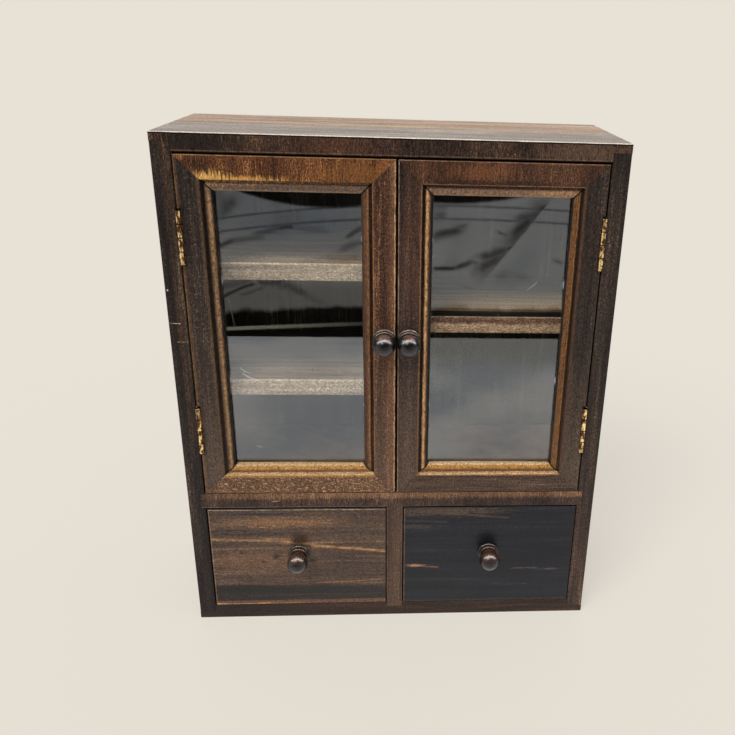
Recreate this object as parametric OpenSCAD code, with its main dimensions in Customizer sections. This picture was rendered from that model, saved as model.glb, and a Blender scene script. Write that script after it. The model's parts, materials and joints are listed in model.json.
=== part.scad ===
// Small display case in burnt softwood: two glazed doors over two drawers.
// The origin is on the floor under the middle of the case. The front faces -Y and Z is up.

/* [Case] */
// Overall width of the case
case_w = 300; // [260:1:360]
// Overall height of the case
case_h = 368; // [340:1:440]
// Depth of the case, from its front edges to its back edges
case_d = 114; // [100:1:160]
// Thickness of the case boards
board_t = 12; // [10:0.5:15]
// Height by which the side boards enter the top and bottom boards
corner_lap = 6; // [3:0.5:8]
// Depth of the housings that hold the ends of the shelves, middle board and partition
housing = 3; // [2:0.5:3.5]
// Depth of the housing under the drawer divider
divider_foot_housing = 4; // [2:0.5:6]
// Depth of the housing over the drawer divider
divider_head_housing = 3; // [2:0.5:4]
// Clear height of the two drawer bays
drawer_bay_h = 88; // [80:1:110]

/* [Back panel] */
// Thickness of the back panel
back_t = 3; // [2:0.5:5]
// Width of the rabbet that the back panel lies in
back_lap = 6; // [4:0.5:8]
// Clearance round the back panel in its rabbet
back_fit = 0.3; // [0.1:0.1:0.8]
// Radius of the back panel's nails
nail_r = 0.6; // [0.4:0.1:1]
// Radius of the nail heads
nail_head_r = 1.3; // [1.1:0.1:1.8]
// Thickness of the nail heads
nail_head_t = 0.5; // [0.3:0.1:1]
// Distance between the nails and the housings in the case boards
nail_gap = 0.5; // [0.2:0.1:0.7]
// Length of the nails under their heads
nail_l = 13; // [8:1:18]
// Number of nails along each side of the back panel
side_nails = 4; // [2:1:6]
// Number of nails along each half of the panel's top and bottom
end_nails = 2; // [1:1:3]

/* [Shelves] */
// Thickness of the shelves
shelf_t = 12; // [9:0.5:14]
// Distance from the front of the case back to the shelves
shelf_setback = 15; // [14.5:0.5:30]
// Clear height over the right shelf
right_bay_h = 110; // [70:1:150]

/* [Doors] */
// Thickness of the doors
door_t = 12; // [11:0.5:14]
// Gap over the doors
door_top_gap = 1.3; // [0.5:0.1:2]
// Gap under the doors
door_bottom_gap = 0.5; // [0.3:0.1:1.5]
// Gap beside each door at its hinges
door_side_gap = 0.9; // [0.5:0.1:1.2]
// Gap between the two doors
door_meet_gap = 1.3; // [0.8:0.1:2]
// How far the meeting line of the doors lies to the right of the middle
meeting_shift = 1; // [-2:0.5:2]
// Gap between the backs of the closed doors and the partition
door_back_gap = 0.5; // [0.2:0.1:1.5]
// Width of the flat face of the door frame members
frame_flat = 15.3; // [13:0.1:20]
// Width of the sunk flat between the flat face and the bead
quirk_w = 1.55; // [1:0.05:2.5]
// Depth of the sunk flat below the face
quirk_d = 3; // [2:0.1:3.5]
// Radius of the bead round the glass
bead_r = 3; // [2.5:0.1:4]
// Depth of the bead's crown below the face
bead_drop = 1.4; // [0.5:0.1:1.8]
// Radius of the rounded edges of the flat face
arris_r = 0.8; // [0.3:0.1:1.2]

/* [Glass] */
// Thickness of the panes
glass_t = 2; // [1.5:0.5:3]
// Depth of the panes below the door face
glass_inset = 6.5; // [5:0.5:7]
// Width of the rebate behind the sight edge
rebate_w = 5; // [3.5:0.5:6]
// Clearance round each pane in its rebate
glass_fit = 0.4; // [0.2:0.1:0.8]
// Thickness of the dabs of glue that hold the panes
dab_t = 1.5; // [1:0.1:2]
// Distance from a door's top to the upper dab on its hinge stile
hinge_dab_1 = 83; // [70:1:110]
// Distance from a door's top to the lower dab on its hinge stile
hinge_dab_2 = 155; // [130:1:180]
// Distance from a door's top to the upper dab on its meeting stile
meeting_dab_1 = 53; // [40:1:90]
// Distance from a door's top to the lower dab on its meeting stile
meeting_dab_2 = 174; // [120:1:200]

/* [Hinges] */
// Length of the hinges
hinge_l = 36; // [28:1:46]
// Outer radius of the hinge knuckles
knuckle_r = 1.6; // [1.5:0.05:2]
// Radius of the hinge pins
hinge_pin_r = 0.75; // [0.6:0.05:0.8]
// Running clearance between a pin and its knuckles
pin_fit = 0.03; // [0.02:0.01:0.08]
// Gap between neighbouring knuckles
knuckle_gap = 0.1; // [0.06:0.02:0.3]
// Thickness of the hinge leaves
leaf_t = 0.8; // [0.6:0.05:0.8]
// Width of the hinge leaves from the pin's axis
leaf_w = 10; // [8:0.5:10.5]
// Distance of the pin's axis in front of the door face
hinge_proud = 1; // [0.8:0.1:1.4]
// Distance from a door's end to the middle of its nearer hinge
hinge_inset = 52; // [40:1:70]
// Clearance round a hinge in the notch of the door stile
notch_gap = 0.5; // [0.35:0.05:1]
// Length by which a pin stands out of its knuckles at each end
pin_end = 0.3; // [0.1:0.05:0.3]
// Radius of the hinge screws
hinge_screw_r = 0.9; // [0.7:0.1:1]
// Length of the hinge screws with their heads
hinge_screw_l = 8; // [6:0.5:9]

/* [Knobs] */
// Diameter of the ball of a knob
knob_d = 15.2; // [12:0.1:16]
// Distance that a knob stands out from its face
knob_reach = 18.8; // [18.2:0.1:24]
// Diameter of the foot of a knob
knob_foot_d = 16.2; // [14:0.1:16.5]
// Thickness of the foot of a knob
knob_foot_t = 2; // [1.5:0.1:2.4]
// Diameter of the ring between the foot and the ball
knob_ring_d = 14.4; // [12:0.1:15]
// Thickness of that ring
knob_ring_t = 1.8; // [1:0.1:2]
// Diameter of the neck of a knob
knob_neck_d = 10.5; // [8:0.5:11]
// Radius of the knob screws
knob_screw_r = 1.5; // [1.2:0.1:2]
// Length that a knob screw enters its knob
knob_screw_bite = 9; // [6:0.5:11]
// Distance of a drawer knob above the middle of its front
drawer_knob_rise = 3.2; // [-10:0.1:10]

/* [Drawers] */
// Thickness of the drawer fronts
drawer_front_t = 12; // [10:0.5:14]
// Gap at each end of a drawer front
drawer_end_gap = 0.7; // [0.4:0.1:0.9]
// Gap over a drawer front
drawer_top_gap = 1; // [0.5:0.1:2]
// Clearance under a drawer
drawer_run_gap = 0.2; // [0.1:0.05:0.3]
// Clearance beside a drawer box
drawer_side_gap = 1; // [0.9:0.1:1.5]
// Gap between a closed drawer and the back panel
drawer_stop_gap = 0.5; // [0.2:0.1:2]
// Thickness of the drawer sides
drawer_side_t = 8; // [6:0.5:10]
// Height of the drawer sides and backs
drawer_side_h = 74; // [60:1:78]
// Depth of the laps that hold the sides in the drawer fronts
drawer_lap = 6; // [4:0.5:8]
// Thickness of the drawer backs
drawer_back_t = 8; // [6:0.5:10]
// Thickness of the drawer floors
drawer_floor_t = 3; // [2:0.5:4]
// Height of a drawer floor over the lower edges of the sides
drawer_floor_z = 4; // [3:0.5:8]
// Depth of the grooves round a drawer floor
drawer_groove = 3; // [2:0.5:4]
// Clearance of a drawer floor in its grooves
floor_fit = 0.1; // [0.05:0.05:0.3]

/* [Door catches] */
// Diameter of the catch magnets and of their strikes
magnet_d = 4; // [3:0.5:4.5]
// Length of the catch magnets
magnet_l = 4; // [2:0.5:6]
// Thickness of the strikes let into the doors
strike_t = 1; // [0.5:0.5:2]
// Distance from the meeting line to the middle of a magnet
magnet_x = 3.4; // [3:0.1:3.6]
// Distance from the top board down to the magnets
magnet_drop = 25; // [15:1:40]

/* [Fits] */
// Clearance of screws, nails and magnets in their holes
screw_fit = 0.02; // [0.01:0.01:0.1]
// Clearance of the knob screws in the door stiles and drawer fronts
knob_hole_fit = 0.1; // [0.05:0.05:0.3]

/* [Hidden] */
// Overshoot of the cutting shapes, so that no skin is left
over = 1;
$fn = 72;

front_y = -case_d / 2;
panel_y = case_d / 2 - back_t;
inner_w = case_w - 2 * board_t;
top_z = case_h - board_t;
middle_z = board_t + drawer_bay_h;
door_bay_z = middle_z + board_t;
door_bay_h = top_z - door_bay_z;
partition_y = front_y + door_t + door_back_gap;
shelf_y = front_y + shelf_setback;

left_shelf_gap = (door_bay_h - 2 * shelf_t) / 3;
left_upper_z = top_z - left_shelf_gap - shelf_t;
left_lower_z = door_bay_z + left_shelf_gap;
right_shelf_z = top_z - right_bay_h - shelf_t;

door_h = door_bay_h - door_top_gap - door_bottom_gap;
door_w = inner_w / 2 - door_side_gap - door_meet_gap / 2;
left_door_w = door_w + meeting_shift;
right_door_w = door_w - meeting_shift;
bead_reach = sqrt(pow(bead_r, 2) - pow(bead_drop + bead_r - quirk_d, 2));
member_w = frame_flat + quirk_w + bead_reach + bead_r;
knob_z = door_h / 2;

knuckle_l = hinge_l / 4;
notch_d = 2 * knuckle_r - door_side_gap;
hinge_zs = [hinge_inset - hinge_l / 2, door_h - hinge_inset - hinge_l / 2];
leaf_screw_y = 0.62 * leaf_w;
leaf_screw_zs = [0.2 * hinge_l, 0.8 * hinge_l];

bay_w = (inner_w - board_t) / 2;
drawer_x = (bay_w + board_t) / 2;
drawer_l = case_d - back_t - drawer_stop_gap;
box_w = bay_w - 2 * drawer_side_gap;
box_inner_w = box_w - 2 * drawer_side_t;
drawer_front_w = bay_w - 2 * drawer_end_gap;
drawer_front_h = drawer_bay_h - drawer_top_gap - drawer_run_gap;
floor_under = drawer_run_gap + drawer_floor_z;

burnt = [0.20, 0.14, 0.10];
burnt_light = [0.36, 0.25, 0.17];
burnt_black = [0.13, 0.12, 0.13];
pale_wood = [0.62, 0.50, 0.38];
plywood = [0.45, 0.34, 0.24];
knob_black = [0.10, 0.08, 0.07];
brass = [0.72, 0.56, 0.25];
steel = [0.60, 0.60, 0.62];
pane_grey = [0.70, 0.75, 0.76, 0.4];
glue_white = [0.85, 0.85, 0.82];

// ---- Shared shapes and places ----

// A block from its lowest to its highest corner
module block(low, high) {
    translate(low) cube(high - low);
}

// Children drawn in the left door's frame: X from its hinge edge, Y from its face, Z from its foot
module at_left_door() {
    translate([-inner_w / 2 + door_side_gap, front_y, door_bay_z + door_bottom_gap]) children();
}

// The same for the right door, which is a mirror image
module at_right_door() {
    mirror([1, 0, 0]) at_left_door() children();
}

// Children drawn in the frame of a hinge: Z along its pin, X away from the case side
module at_hinge(z) {
    translate([knuckle_r - door_side_gap, -hinge_proud, z]) children();
}

// Children drawn in a drawer's frame: X from its middle, Y from its face, Z from the bay's floor
module at_left_drawer() {
    translate([-drawer_x, front_y, board_t]) children();
}

module at_right_drawer() {
    translate([drawer_x, front_y, board_t]) children();
}

// Children drawn where the magnets meet the strikes, once for each door
module at_magnets(y) {
    for (side = [-1, 1])
        translate([meeting_shift + side * magnet_x, y, top_z - magnet_drop])
            rotate([-90, 0, 0]) children();
}

// ---- Case boards ----

// The left side board, with housings for shelves at the given heights
module side_board(shelf_zs) {
    difference() {
        block([-case_w / 2, front_y, board_t - corner_lap],
              [-inner_w / 2, case_d / 2, top_z + corner_lap]);
        block([-inner_w / 2 - back_lap, panel_y, 0],
              [-inner_w / 2 + over, case_d / 2 + over, case_h]);
        block([-inner_w / 2 - housing, front_y - over, middle_z],
              [-inner_w / 2 + over, panel_y, middle_z + board_t]);
        for (z = shelf_zs)
            block([-inner_w / 2 - housing, shelf_y, z],
                  [-inner_w / 2 + over, panel_y, z + shelf_t]);
        at_left_door() frame_screws(screw_fit);
        nails(screw_fit);
    }
}

module left_side_board() color(burnt) side_board([left_upper_z, left_lower_z]);

module right_side_board() color(burnt) mirror([1, 0, 0]) side_board([right_shelf_z]);

// The bottom board without its divider housing; the top board is its mirror image
module end_board() {
    difference() {
        block([-case_w / 2, front_y, 0], [case_w / 2, case_d / 2, board_t]);
        for (side = [0, 1])
            mirror([side, 0, 0])
                block([inner_w / 2, front_y - over, board_t - corner_lap],
                      [case_w / 2 + over, case_d / 2 + over, board_t + over]);
        block([-inner_w / 2 - back_lap, panel_y, board_t - back_lap],
              [inner_w / 2 + back_lap, case_d / 2 + over, board_t + over]);
        nails(screw_fit);
    }
}

module bottom_board() color(burnt) {
    difference() {
        end_board();
        block([-board_t / 2, front_y - over, board_t - divider_foot_housing],
              [board_t / 2, panel_y, board_t + over]);
    }
}

module top_board() color(burnt) {
    difference() {
        translate([0, 0, case_h]) mirror([0, 0, 1]) end_board();
        block([meeting_shift - board_t / 2, partition_y, top_z - over],
              [meeting_shift + board_t / 2, panel_y, top_z + housing]);
    }
}

module middle_board() color(burnt) {
    difference() {
        block([-inner_w / 2 - housing, front_y, middle_z],
              [inner_w / 2 + housing, panel_y, door_bay_z]);
        block([meeting_shift - board_t / 2, partition_y, door_bay_z - housing],
              [meeting_shift + board_t / 2, panel_y + over, door_bay_z + over]);
        block([-board_t / 2, front_y - over, middle_z - over],
              [board_t / 2, panel_y + over, middle_z + divider_head_housing]);
    }
}

module partition() color(burnt) {
    left_x = meeting_shift - board_t / 2;
    right_x = meeting_shift + board_t / 2;
    difference() {
        block([left_x, partition_y, door_bay_z - housing],
              [right_x, panel_y, top_z + housing]);
        for (z = [left_upper_z, left_lower_z])
            block([left_x - over, shelf_y, z],
                  [left_x + housing, panel_y + over, z + shelf_t]);
        block([right_x - housing, shelf_y, right_shelf_z],
              [right_x + over, panel_y + over, right_shelf_z + shelf_t]);
        at_magnets(partition_y - over)
            cylinder(h = magnet_l + over, d = magnet_d + 2 * screw_fit);
    }
}

module drawer_divider() color(burnt_light) {
    block([-board_t / 2, front_y, board_t - divider_foot_housing],
          [board_t / 2, panel_y, middle_z + divider_head_housing]);
}

// ---- Shelves ----

module left_shelf(z) {
    block([-inner_w / 2 - housing, shelf_y, z],
          [meeting_shift - board_t / 2 + housing, panel_y, z + shelf_t]);
}

module left_upper_shelf() color(pale_wood) left_shelf(left_upper_z);

module left_lower_shelf() color(pale_wood) left_shelf(left_lower_z);

module right_shelf() color(pale_wood) {
    block([meeting_shift + board_t / 2 - housing, shelf_y, right_shelf_z],
          [inner_w / 2 + housing, panel_y, right_shelf_z + shelf_t]);
}

// ---- Back panel ----

module back_panel() color(plywood) {
    difference() {
        block([-inner_w / 2 - back_lap + back_fit, panel_y, board_t - back_lap + back_fit],
              [inner_w / 2 + back_lap - back_fit, case_d / 2, top_z + back_lap - back_fit]);
        nails(screw_fit);
    }
}

// One nail, driven along -Y, with its head flush at the origin
module nail(fit) {
    rotate([90, 0, 0]) {
        translate([0, 0, -fit]) cylinder(h = nail_head_t + 2 * fit, r = nail_head_r + fit);
        cylinder(h = nail_head_t + nail_l + fit, r = nail_r + fit);
    }
}

// All the nails round the panel; a fit above 0 gives their holes
module nails(fit) {
    inset = housing + nail_gap + nail_r;
    x = inner_w / 2 + inset;
    low_z = board_t - inset;
    high_z = top_z + inset;
    for (side = [-1, 1], i = [0 : side_nails - 1])
        translate([side * x, case_d / 2, low_z + (high_z - low_z) * (i + 0.5) / side_nails])
            nail(fit);
    for (side = [-1, 1], z = [low_z, high_z], i = [0 : end_nails - 1])
        translate([side * x * (i + 0.5) / end_nails, case_d / 2, z]) nail(fit);
}

module back_panel_nails() color(steel) nails(0);

// ---- Hinges ----

// Knuckles in every second place from the given one, counted from the foot of the hinge
module knuckles(first, grow) {
    for (i = [first, first + 2])
        translate([0, 0, i * knuckle_l + knuckle_gap / 2 - grow])
            cylinder(h = knuckle_l - knuckle_gap + 2 * grow, r = knuckle_r + grow);
}

// A leaf on the case side of the pin, with its own knuckles from the given place
module hinge_leaf(first) {
    difference() {
        union() {
            block([-knuckle_r, 0, 0], [-knuckle_r + leaf_t, leaf_w, hinge_l]);
            knuckles(first, 0);
        }
        for (i = [1 - first, 3 - first])
            block([-knuckle_r - over, -over, i * knuckle_l - knuckle_gap / 2],
                  [knuckle_r, knuckle_r + 2 * knuckle_gap, (i + 1) * knuckle_l + knuckle_gap / 2]);
        translate([0, 0, -over]) cylinder(h = hinge_l + 2 * over, r = hinge_pin_r + pin_fit);
        leaf_screws(screw_fit);
    }
}

// Screws through a leaf into the case side; a fit above 0 gives their holes
module leaf_screws(fit) {
    for (z = leaf_screw_zs)
        translate([-knuckle_r + leaf_t, leaf_screw_y, z]) rotate([0, -90, 0]) {
            translate([0, 0, -fit])
                cylinder(h = leaf_t + fit, r1 = hinge_screw_r + leaf_t + fit, r2 = hinge_screw_r + fit);
            cylinder(h = hinge_screw_l + fit, r = hinge_screw_r + fit);
        }
}

module frame_screws(fit) {
    for (z = hinge_zs) at_hinge(z) leaf_screws(fit);
}

module door_screws(fit) {
    for (z = hinge_zs) at_hinge(z) mirror([1, 0, 0]) leaf_screws(fit);
}

// The frame leaf holds the lowest and the third knuckle, the door leaf the other two
module frame_leaf(z) {
    at_hinge(z) hinge_leaf(0);
}

module door_leaf(z) {
    at_hinge(z) mirror([1, 0, 0]) hinge_leaf(1);
}

module hinge_pins() {
    for (z = hinge_zs)
        at_hinge(z) translate([0, 0, -pin_end])
            cylinder(h = hinge_l + 2 * pin_end, r = hinge_pin_r);
}

module left_upper_frame_leaf() color(brass) at_left_door() frame_leaf(hinge_zs[1]);
module left_lower_frame_leaf() color(brass) at_left_door() frame_leaf(hinge_zs[0]);
module right_upper_frame_leaf() color(brass) at_right_door() frame_leaf(hinge_zs[1]);
module right_lower_frame_leaf() color(brass) at_right_door() frame_leaf(hinge_zs[0]);
module left_door_upper_leaf() color(brass) at_left_door() door_leaf(hinge_zs[1]);
module left_door_lower_leaf() color(brass) at_left_door() door_leaf(hinge_zs[0]);
module right_door_upper_leaf() color(brass) at_right_door() door_leaf(hinge_zs[1]);
module right_door_lower_leaf() color(brass) at_right_door() door_leaf(hinge_zs[0]);
module left_hinge_pins() color(brass) at_left_door() hinge_pins();
module right_hinge_pins() color(brass) at_right_door() hinge_pins();
module left_door_leaf_screws() color(brass) at_left_door() door_screws(0);
module right_door_leaf_screws() color(brass) at_right_door() door_screws(0);

module frame_leaf_screws() color(brass) {
    at_left_door() frame_screws(0);
    at_right_door() frame_screws(0);
}

// ---- Door frames ----

// Section of a frame member: X is the depth from the face, Y runs in from the outer edge
module frame_section() {
    difference() {
        union() {
            translate([arris_r, 0]) square([door_t - arris_r, frame_flat]);
            translate([0, arris_r]) square([arris_r, frame_flat - 2 * arris_r]);
            for (y = [arris_r, frame_flat - arris_r]) translate([arris_r, y]) circle(arris_r);
            translate([quirk_d, 0]) square([door_t - quirk_d, member_w - bead_r]);
            translate([bead_drop + bead_r, 0]) square([door_t - bead_drop - bead_r, member_w]);
            translate([bead_drop + bead_r, member_w - bead_r]) circle(bead_r);
        }
        translate([glass_inset, member_w - rebate_w]) square([door_t, rebate_w + over]);
    }
}

// A member along X with mitred ends, its outer edge on Z = 0
module mitred_member(length) {
    intersection() {
        rotate([90, 0, 90]) linear_extrude(length) frame_section();
        translate([0, door_t + over, 0]) rotate([90, 0, 0]) linear_extrude(door_t + 2 * over)
            polygon([[0, 0], [length, 0], [length - member_w, member_w], [member_w, member_w]]);
    }
}

module bottom_rail(width) {
    mitred_member(width);
}

module top_rail(width) {
    translate([0, 0, door_h]) mirror([0, 0, 1]) mitred_member(width);
}

// The hinge stile has a notch for the whole of each hinge
module hinge_stile() {
    difference() {
        mirror([1, 0, -1]) mitred_member(door_h);
        for (z = hinge_zs)
            block([-over, -over, z - notch_gap],
                  [notch_d, leaf_w - hinge_proud + notch_gap, z + hinge_l + notch_gap]);
        door_screws(screw_fit);
    }
}

module meeting_stile(width) {
    difference() {
        translate([width, 0, 0]) mirror([1, 0, 0]) mirror([1, 0, -1]) mitred_member(door_h);
        at_door_knob(width) knob_screw(door_t, knob_hole_fit);
        at_door_strike(width) cylinder(h = strike_t + over, d = magnet_d + 2 * screw_fit);
    }
}

module left_door_top_rail() color(burnt_light) at_left_door() top_rail(left_door_w);
module left_door_bottom_rail() color(burnt_light) at_left_door() bottom_rail(left_door_w);
module left_door_hinge_stile() color(burnt) at_left_door() hinge_stile();
module left_door_meeting_stile() color(burnt) at_left_door() meeting_stile(left_door_w);
module right_door_top_rail() color(burnt_light) at_right_door() top_rail(right_door_w);
module right_door_bottom_rail() color(burnt_light) at_right_door() bottom_rail(right_door_w);
module right_door_hinge_stile() color(burnt) at_right_door() hinge_stile();
module right_door_meeting_stile() color(burnt) at_right_door() meeting_stile(right_door_w);

// ---- Glass ----

module pane(width) {
    edge = member_w - rebate_w + glass_fit;
    block([edge, glass_inset, edge], [width - edge, glass_inset + glass_t, door_h - edge]);
}

// A half-round dab of glue between a stile's rebate and the back of the pane
module dab(z) {
    dab_r = rebate_w + 0.5;
    translate([member_w - rebate_w, glass_inset + glass_t, door_h - z]) rotate([-90, 0, 0])
        intersection() {
            cylinder(h = dab_t, r = dab_r);
            block([0, -dab_r, -over], [dab_r + over, dab_r, dab_t + over]);
        }
}

module dabs(width) {
    for (z = [hinge_dab_1, hinge_dab_2]) dab(z);
    translate([width, 0, 0]) mirror([1, 0, 0])
        for (z = [meeting_dab_1, meeting_dab_2]) dab(z);
}

module left_door_glass() color(pane_grey) at_left_door() pane(left_door_w);
module right_door_glass() color(pane_grey) at_right_door() pane(right_door_w);
module left_door_glass_dabs() color(glue_white) at_left_door() dabs(left_door_w);
module right_door_glass_dabs() color(glue_white) at_right_door() dabs(right_door_w);

// ---- Knobs ----

// A flat disc with a round rim, as half a section
module disc_section(d, thickness) {
    square([(d - thickness) / 2, thickness]);
    translate([(d - thickness) / 2, thickness / 2]) circle(d = thickness);
}

// A knob with its foot on Z = 0
module knob() {
    ring_z = knob_foot_t + 0.5 * (knob_reach - knob_d - knob_foot_t);
    difference() {
        rotate_extrude() intersection() {
            square([knob_foot_d, knob_reach]);
            union() {
                disc_section(knob_foot_d, knob_foot_t);
                square([knob_neck_d / 2, knob_reach - knob_d / 2]);
                translate([0, ring_z]) disc_section(knob_ring_d, knob_ring_t);
                translate([0, knob_reach - knob_d / 2]) circle(d = knob_d);
            }
        }
        translate([0, 0, -over])
            cylinder(h = knob_screw_bite + screw_fit + over, r = knob_screw_r + screw_fit);
    }
}

// A countersunk screw through the given thickness, into the knob along +Z
module knob_screw(thickness, fit) {
    translate([0, 0, -thickness]) {
        translate([0, 0, -fit])
            cylinder(h = knob_screw_r + fit, r1 = 2 * knob_screw_r + fit, r2 = knob_screw_r + fit);
        cylinder(h = thickness + knob_screw_bite, r = knob_screw_r + fit);
    }
}

// Children drawn where a knob stands, with Z out of the face
module at_door_knob(width) {
    translate([width - frame_flat / 2, 0, knob_z]) rotate([90, 0, 0]) children();
}

module at_drawer_knob() {
    translate([0, 0, drawer_run_gap + drawer_front_h / 2 + drawer_knob_rise])
        rotate([90, 0, 0]) children();
}

module left_door_knob() color(knob_black) at_left_door() at_door_knob(left_door_w) knob();
module right_door_knob() color(knob_black) at_right_door() at_door_knob(right_door_w) knob();
module left_drawer_knob() color(knob_black) at_left_drawer() at_drawer_knob() knob();
module right_drawer_knob() color(knob_black) at_right_drawer() at_drawer_knob() knob();

module left_door_knob_screw() color(steel)
    at_left_door() at_door_knob(left_door_w) knob_screw(door_t, 0);
module right_door_knob_screw() color(steel)
    at_right_door() at_door_knob(right_door_w) knob_screw(door_t, 0);
module left_drawer_knob_screw() color(steel)
    at_left_drawer() at_drawer_knob() knob_screw(drawer_front_t, 0);
module right_drawer_knob_screw() color(steel)
    at_right_drawer() at_drawer_knob() knob_screw(drawer_front_t, 0);

// ---- Door catches ----

// Children drawn where the strike lies in a door's back, with Z out of the back
module at_door_strike(width) {
    translate([width + door_meet_gap / 2 - magnet_x, door_t - strike_t,
               door_h + door_top_gap - magnet_drop])
        rotate([-90, 0, 0]) children();
}

module catch_magnets() color(steel) at_magnets(partition_y) cylinder(h = magnet_l, d = magnet_d);

module left_door_strike() color(steel)
    at_left_door() at_door_strike(left_door_w) cylinder(h = strike_t, d = magnet_d);
module right_door_strike() color(steel)
    at_right_door() at_door_strike(right_door_w) cylinder(h = strike_t, d = magnet_d);

// ---- Drawers ----

// The space of a drawer floor, less the given fit all round
module floor_block(fit) {
    x = box_inner_w / 2 + drawer_groove - fit;
    block([-x, drawer_front_t - drawer_groove + fit, floor_under],
          [x, drawer_l - drawer_back_t + drawer_groove - fit, floor_under + drawer_floor_t]);
}

module drawer_front() {
    difference() {
        block([-drawer_front_w / 2, 0, drawer_run_gap],
              [drawer_front_w / 2, drawer_front_t, drawer_run_gap + drawer_front_h]);
        for (side = [0, 1])
            mirror([side, 0, 0])
                block([box_inner_w / 2, drawer_front_t - drawer_lap, -over],
                      [bay_w / 2, drawer_front_t + over, drawer_run_gap + drawer_side_h]);
        floor_block(0);
        at_drawer_knob() knob_screw(drawer_front_t, knob_hole_fit);
    }
}

module drawer_side() {
    difference() {
        block([box_inner_w / 2, drawer_front_t - drawer_lap, drawer_run_gap],
              [box_w / 2, drawer_l, drawer_run_gap + drawer_side_h]);
        floor_block(0);
    }
}

module drawer_back() {
    difference() {
        block([-box_inner_w / 2, drawer_l - drawer_back_t, drawer_run_gap],
              [box_inner_w / 2, drawer_l, drawer_run_gap + drawer_side_h]);
        floor_block(0);
    }
}

module left_drawer_front() color(burnt_light) at_left_drawer() drawer_front();
module right_drawer_front() color(burnt_black) at_right_drawer() drawer_front();
module left_drawer_left_side() color(pale_wood) at_left_drawer() mirror([1, 0, 0]) drawer_side();
module right_drawer_left_side() color(pale_wood) at_right_drawer() mirror([1, 0, 0]) drawer_side();
module left_drawer_right_side() color(pale_wood) at_left_drawer() drawer_side();
module right_drawer_right_side() color(pale_wood) at_right_drawer() drawer_side();
module left_drawer_back() color(pale_wood) at_left_drawer() drawer_back();
module right_drawer_back() color(pale_wood) at_right_drawer() drawer_back();
module left_drawer_floor() color(plywood) at_left_drawer() floor_block(floor_fit);
module right_drawer_floor() color(plywood) at_right_drawer() floor_block(floor_fit);

top_board();
bottom_board();
left_side_board();
right_side_board();
middle_board();
partition();
drawer_divider();
back_panel();
back_panel_nails();
left_upper_shelf();
left_lower_shelf();
right_shelf();
catch_magnets();
left_upper_frame_leaf();
left_lower_frame_leaf();
right_upper_frame_leaf();
right_lower_frame_leaf();
left_hinge_pins();
right_hinge_pins();
frame_leaf_screws();
left_door_top_rail();
left_door_bottom_rail();
left_door_hinge_stile();
left_door_meeting_stile();
left_door_glass();
left_door_glass_dabs();
left_door_knob();
left_door_knob_screw();
left_door_strike();
left_door_upper_leaf();
left_door_lower_leaf();
left_door_leaf_screws();
right_door_top_rail();
right_door_bottom_rail();
right_door_hinge_stile();
right_door_meeting_stile();
right_door_glass();
right_door_glass_dabs();
right_door_knob();
right_door_knob_screw();
right_door_strike();
right_door_upper_leaf();
right_door_lower_leaf();
right_door_leaf_screws();
left_drawer_front();
left_drawer_left_side();
left_drawer_right_side();
left_drawer_back();
left_drawer_floor();
left_drawer_knob();
left_drawer_knob_screw();
right_drawer_front();
right_drawer_left_side();
right_drawer_right_side();
right_drawer_back();
right_drawer_floor();
right_drawer_knob();
right_drawer_knob_screw();
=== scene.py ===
import json
import math

import bmesh
import bpy
from mathutils import Matrix, Vector

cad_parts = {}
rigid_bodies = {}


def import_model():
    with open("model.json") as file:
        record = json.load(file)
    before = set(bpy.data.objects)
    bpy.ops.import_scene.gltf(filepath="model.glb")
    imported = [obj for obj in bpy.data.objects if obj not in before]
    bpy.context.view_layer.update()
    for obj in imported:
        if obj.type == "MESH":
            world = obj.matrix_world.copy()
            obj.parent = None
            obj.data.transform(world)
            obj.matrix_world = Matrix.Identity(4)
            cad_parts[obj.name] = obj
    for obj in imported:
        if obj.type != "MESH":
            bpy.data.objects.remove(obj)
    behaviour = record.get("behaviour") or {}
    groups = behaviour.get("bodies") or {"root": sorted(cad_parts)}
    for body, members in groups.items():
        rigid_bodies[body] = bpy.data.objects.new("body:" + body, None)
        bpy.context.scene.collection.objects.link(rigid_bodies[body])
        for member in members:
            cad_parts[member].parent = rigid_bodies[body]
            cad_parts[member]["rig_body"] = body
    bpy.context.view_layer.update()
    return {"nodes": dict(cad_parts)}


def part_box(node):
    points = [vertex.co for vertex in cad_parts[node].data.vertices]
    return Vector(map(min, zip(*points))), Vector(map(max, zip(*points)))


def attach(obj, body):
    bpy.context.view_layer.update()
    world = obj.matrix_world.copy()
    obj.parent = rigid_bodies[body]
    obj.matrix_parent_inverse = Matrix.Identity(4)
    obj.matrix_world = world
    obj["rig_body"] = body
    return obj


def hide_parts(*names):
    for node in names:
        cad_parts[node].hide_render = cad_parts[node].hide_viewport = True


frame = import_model()
MM = 0.001

# ---------------------------------------------------------------------------------------------
# Camera, floor and light. The case stands on a plain pale floor under an even sky with one
# soft lamp high at the front left. The camera looks down on the doors from the front.

CAMERA_PLACE = (0.00442, -0.5537, 0.4274)
CAMERA_TURN = math.radians(4.62)
CAMERA_DIP = math.radians(21.78)
CAMERA_ROLL = math.radians(2.12)
CAMERA_LENS = 38.11
CAMERA_SHIFT = (-0.126, -0.0269)

camera = bpy.data.objects.new("camera", bpy.data.cameras.new("camera"))
camera.data.lens = CAMERA_LENS
camera.data.shift_x, camera.data.shift_y = CAMERA_SHIFT
camera.matrix_world = (
    Matrix.Translation(CAMERA_PLACE)
    @ Matrix.Rotation(-CAMERA_TURN, 4, "Z")
    @ Matrix.Rotation(math.pi / 2 - CAMERA_DIP, 4, "X")
    @ Matrix.Rotation(CAMERA_ROLL, 4, "Z")
)
bpy.context.scene.collection.objects.link(camera)
bpy.context.scene.camera = camera
bpy.context.scene.view_settings.view_transform = "Standard"


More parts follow.
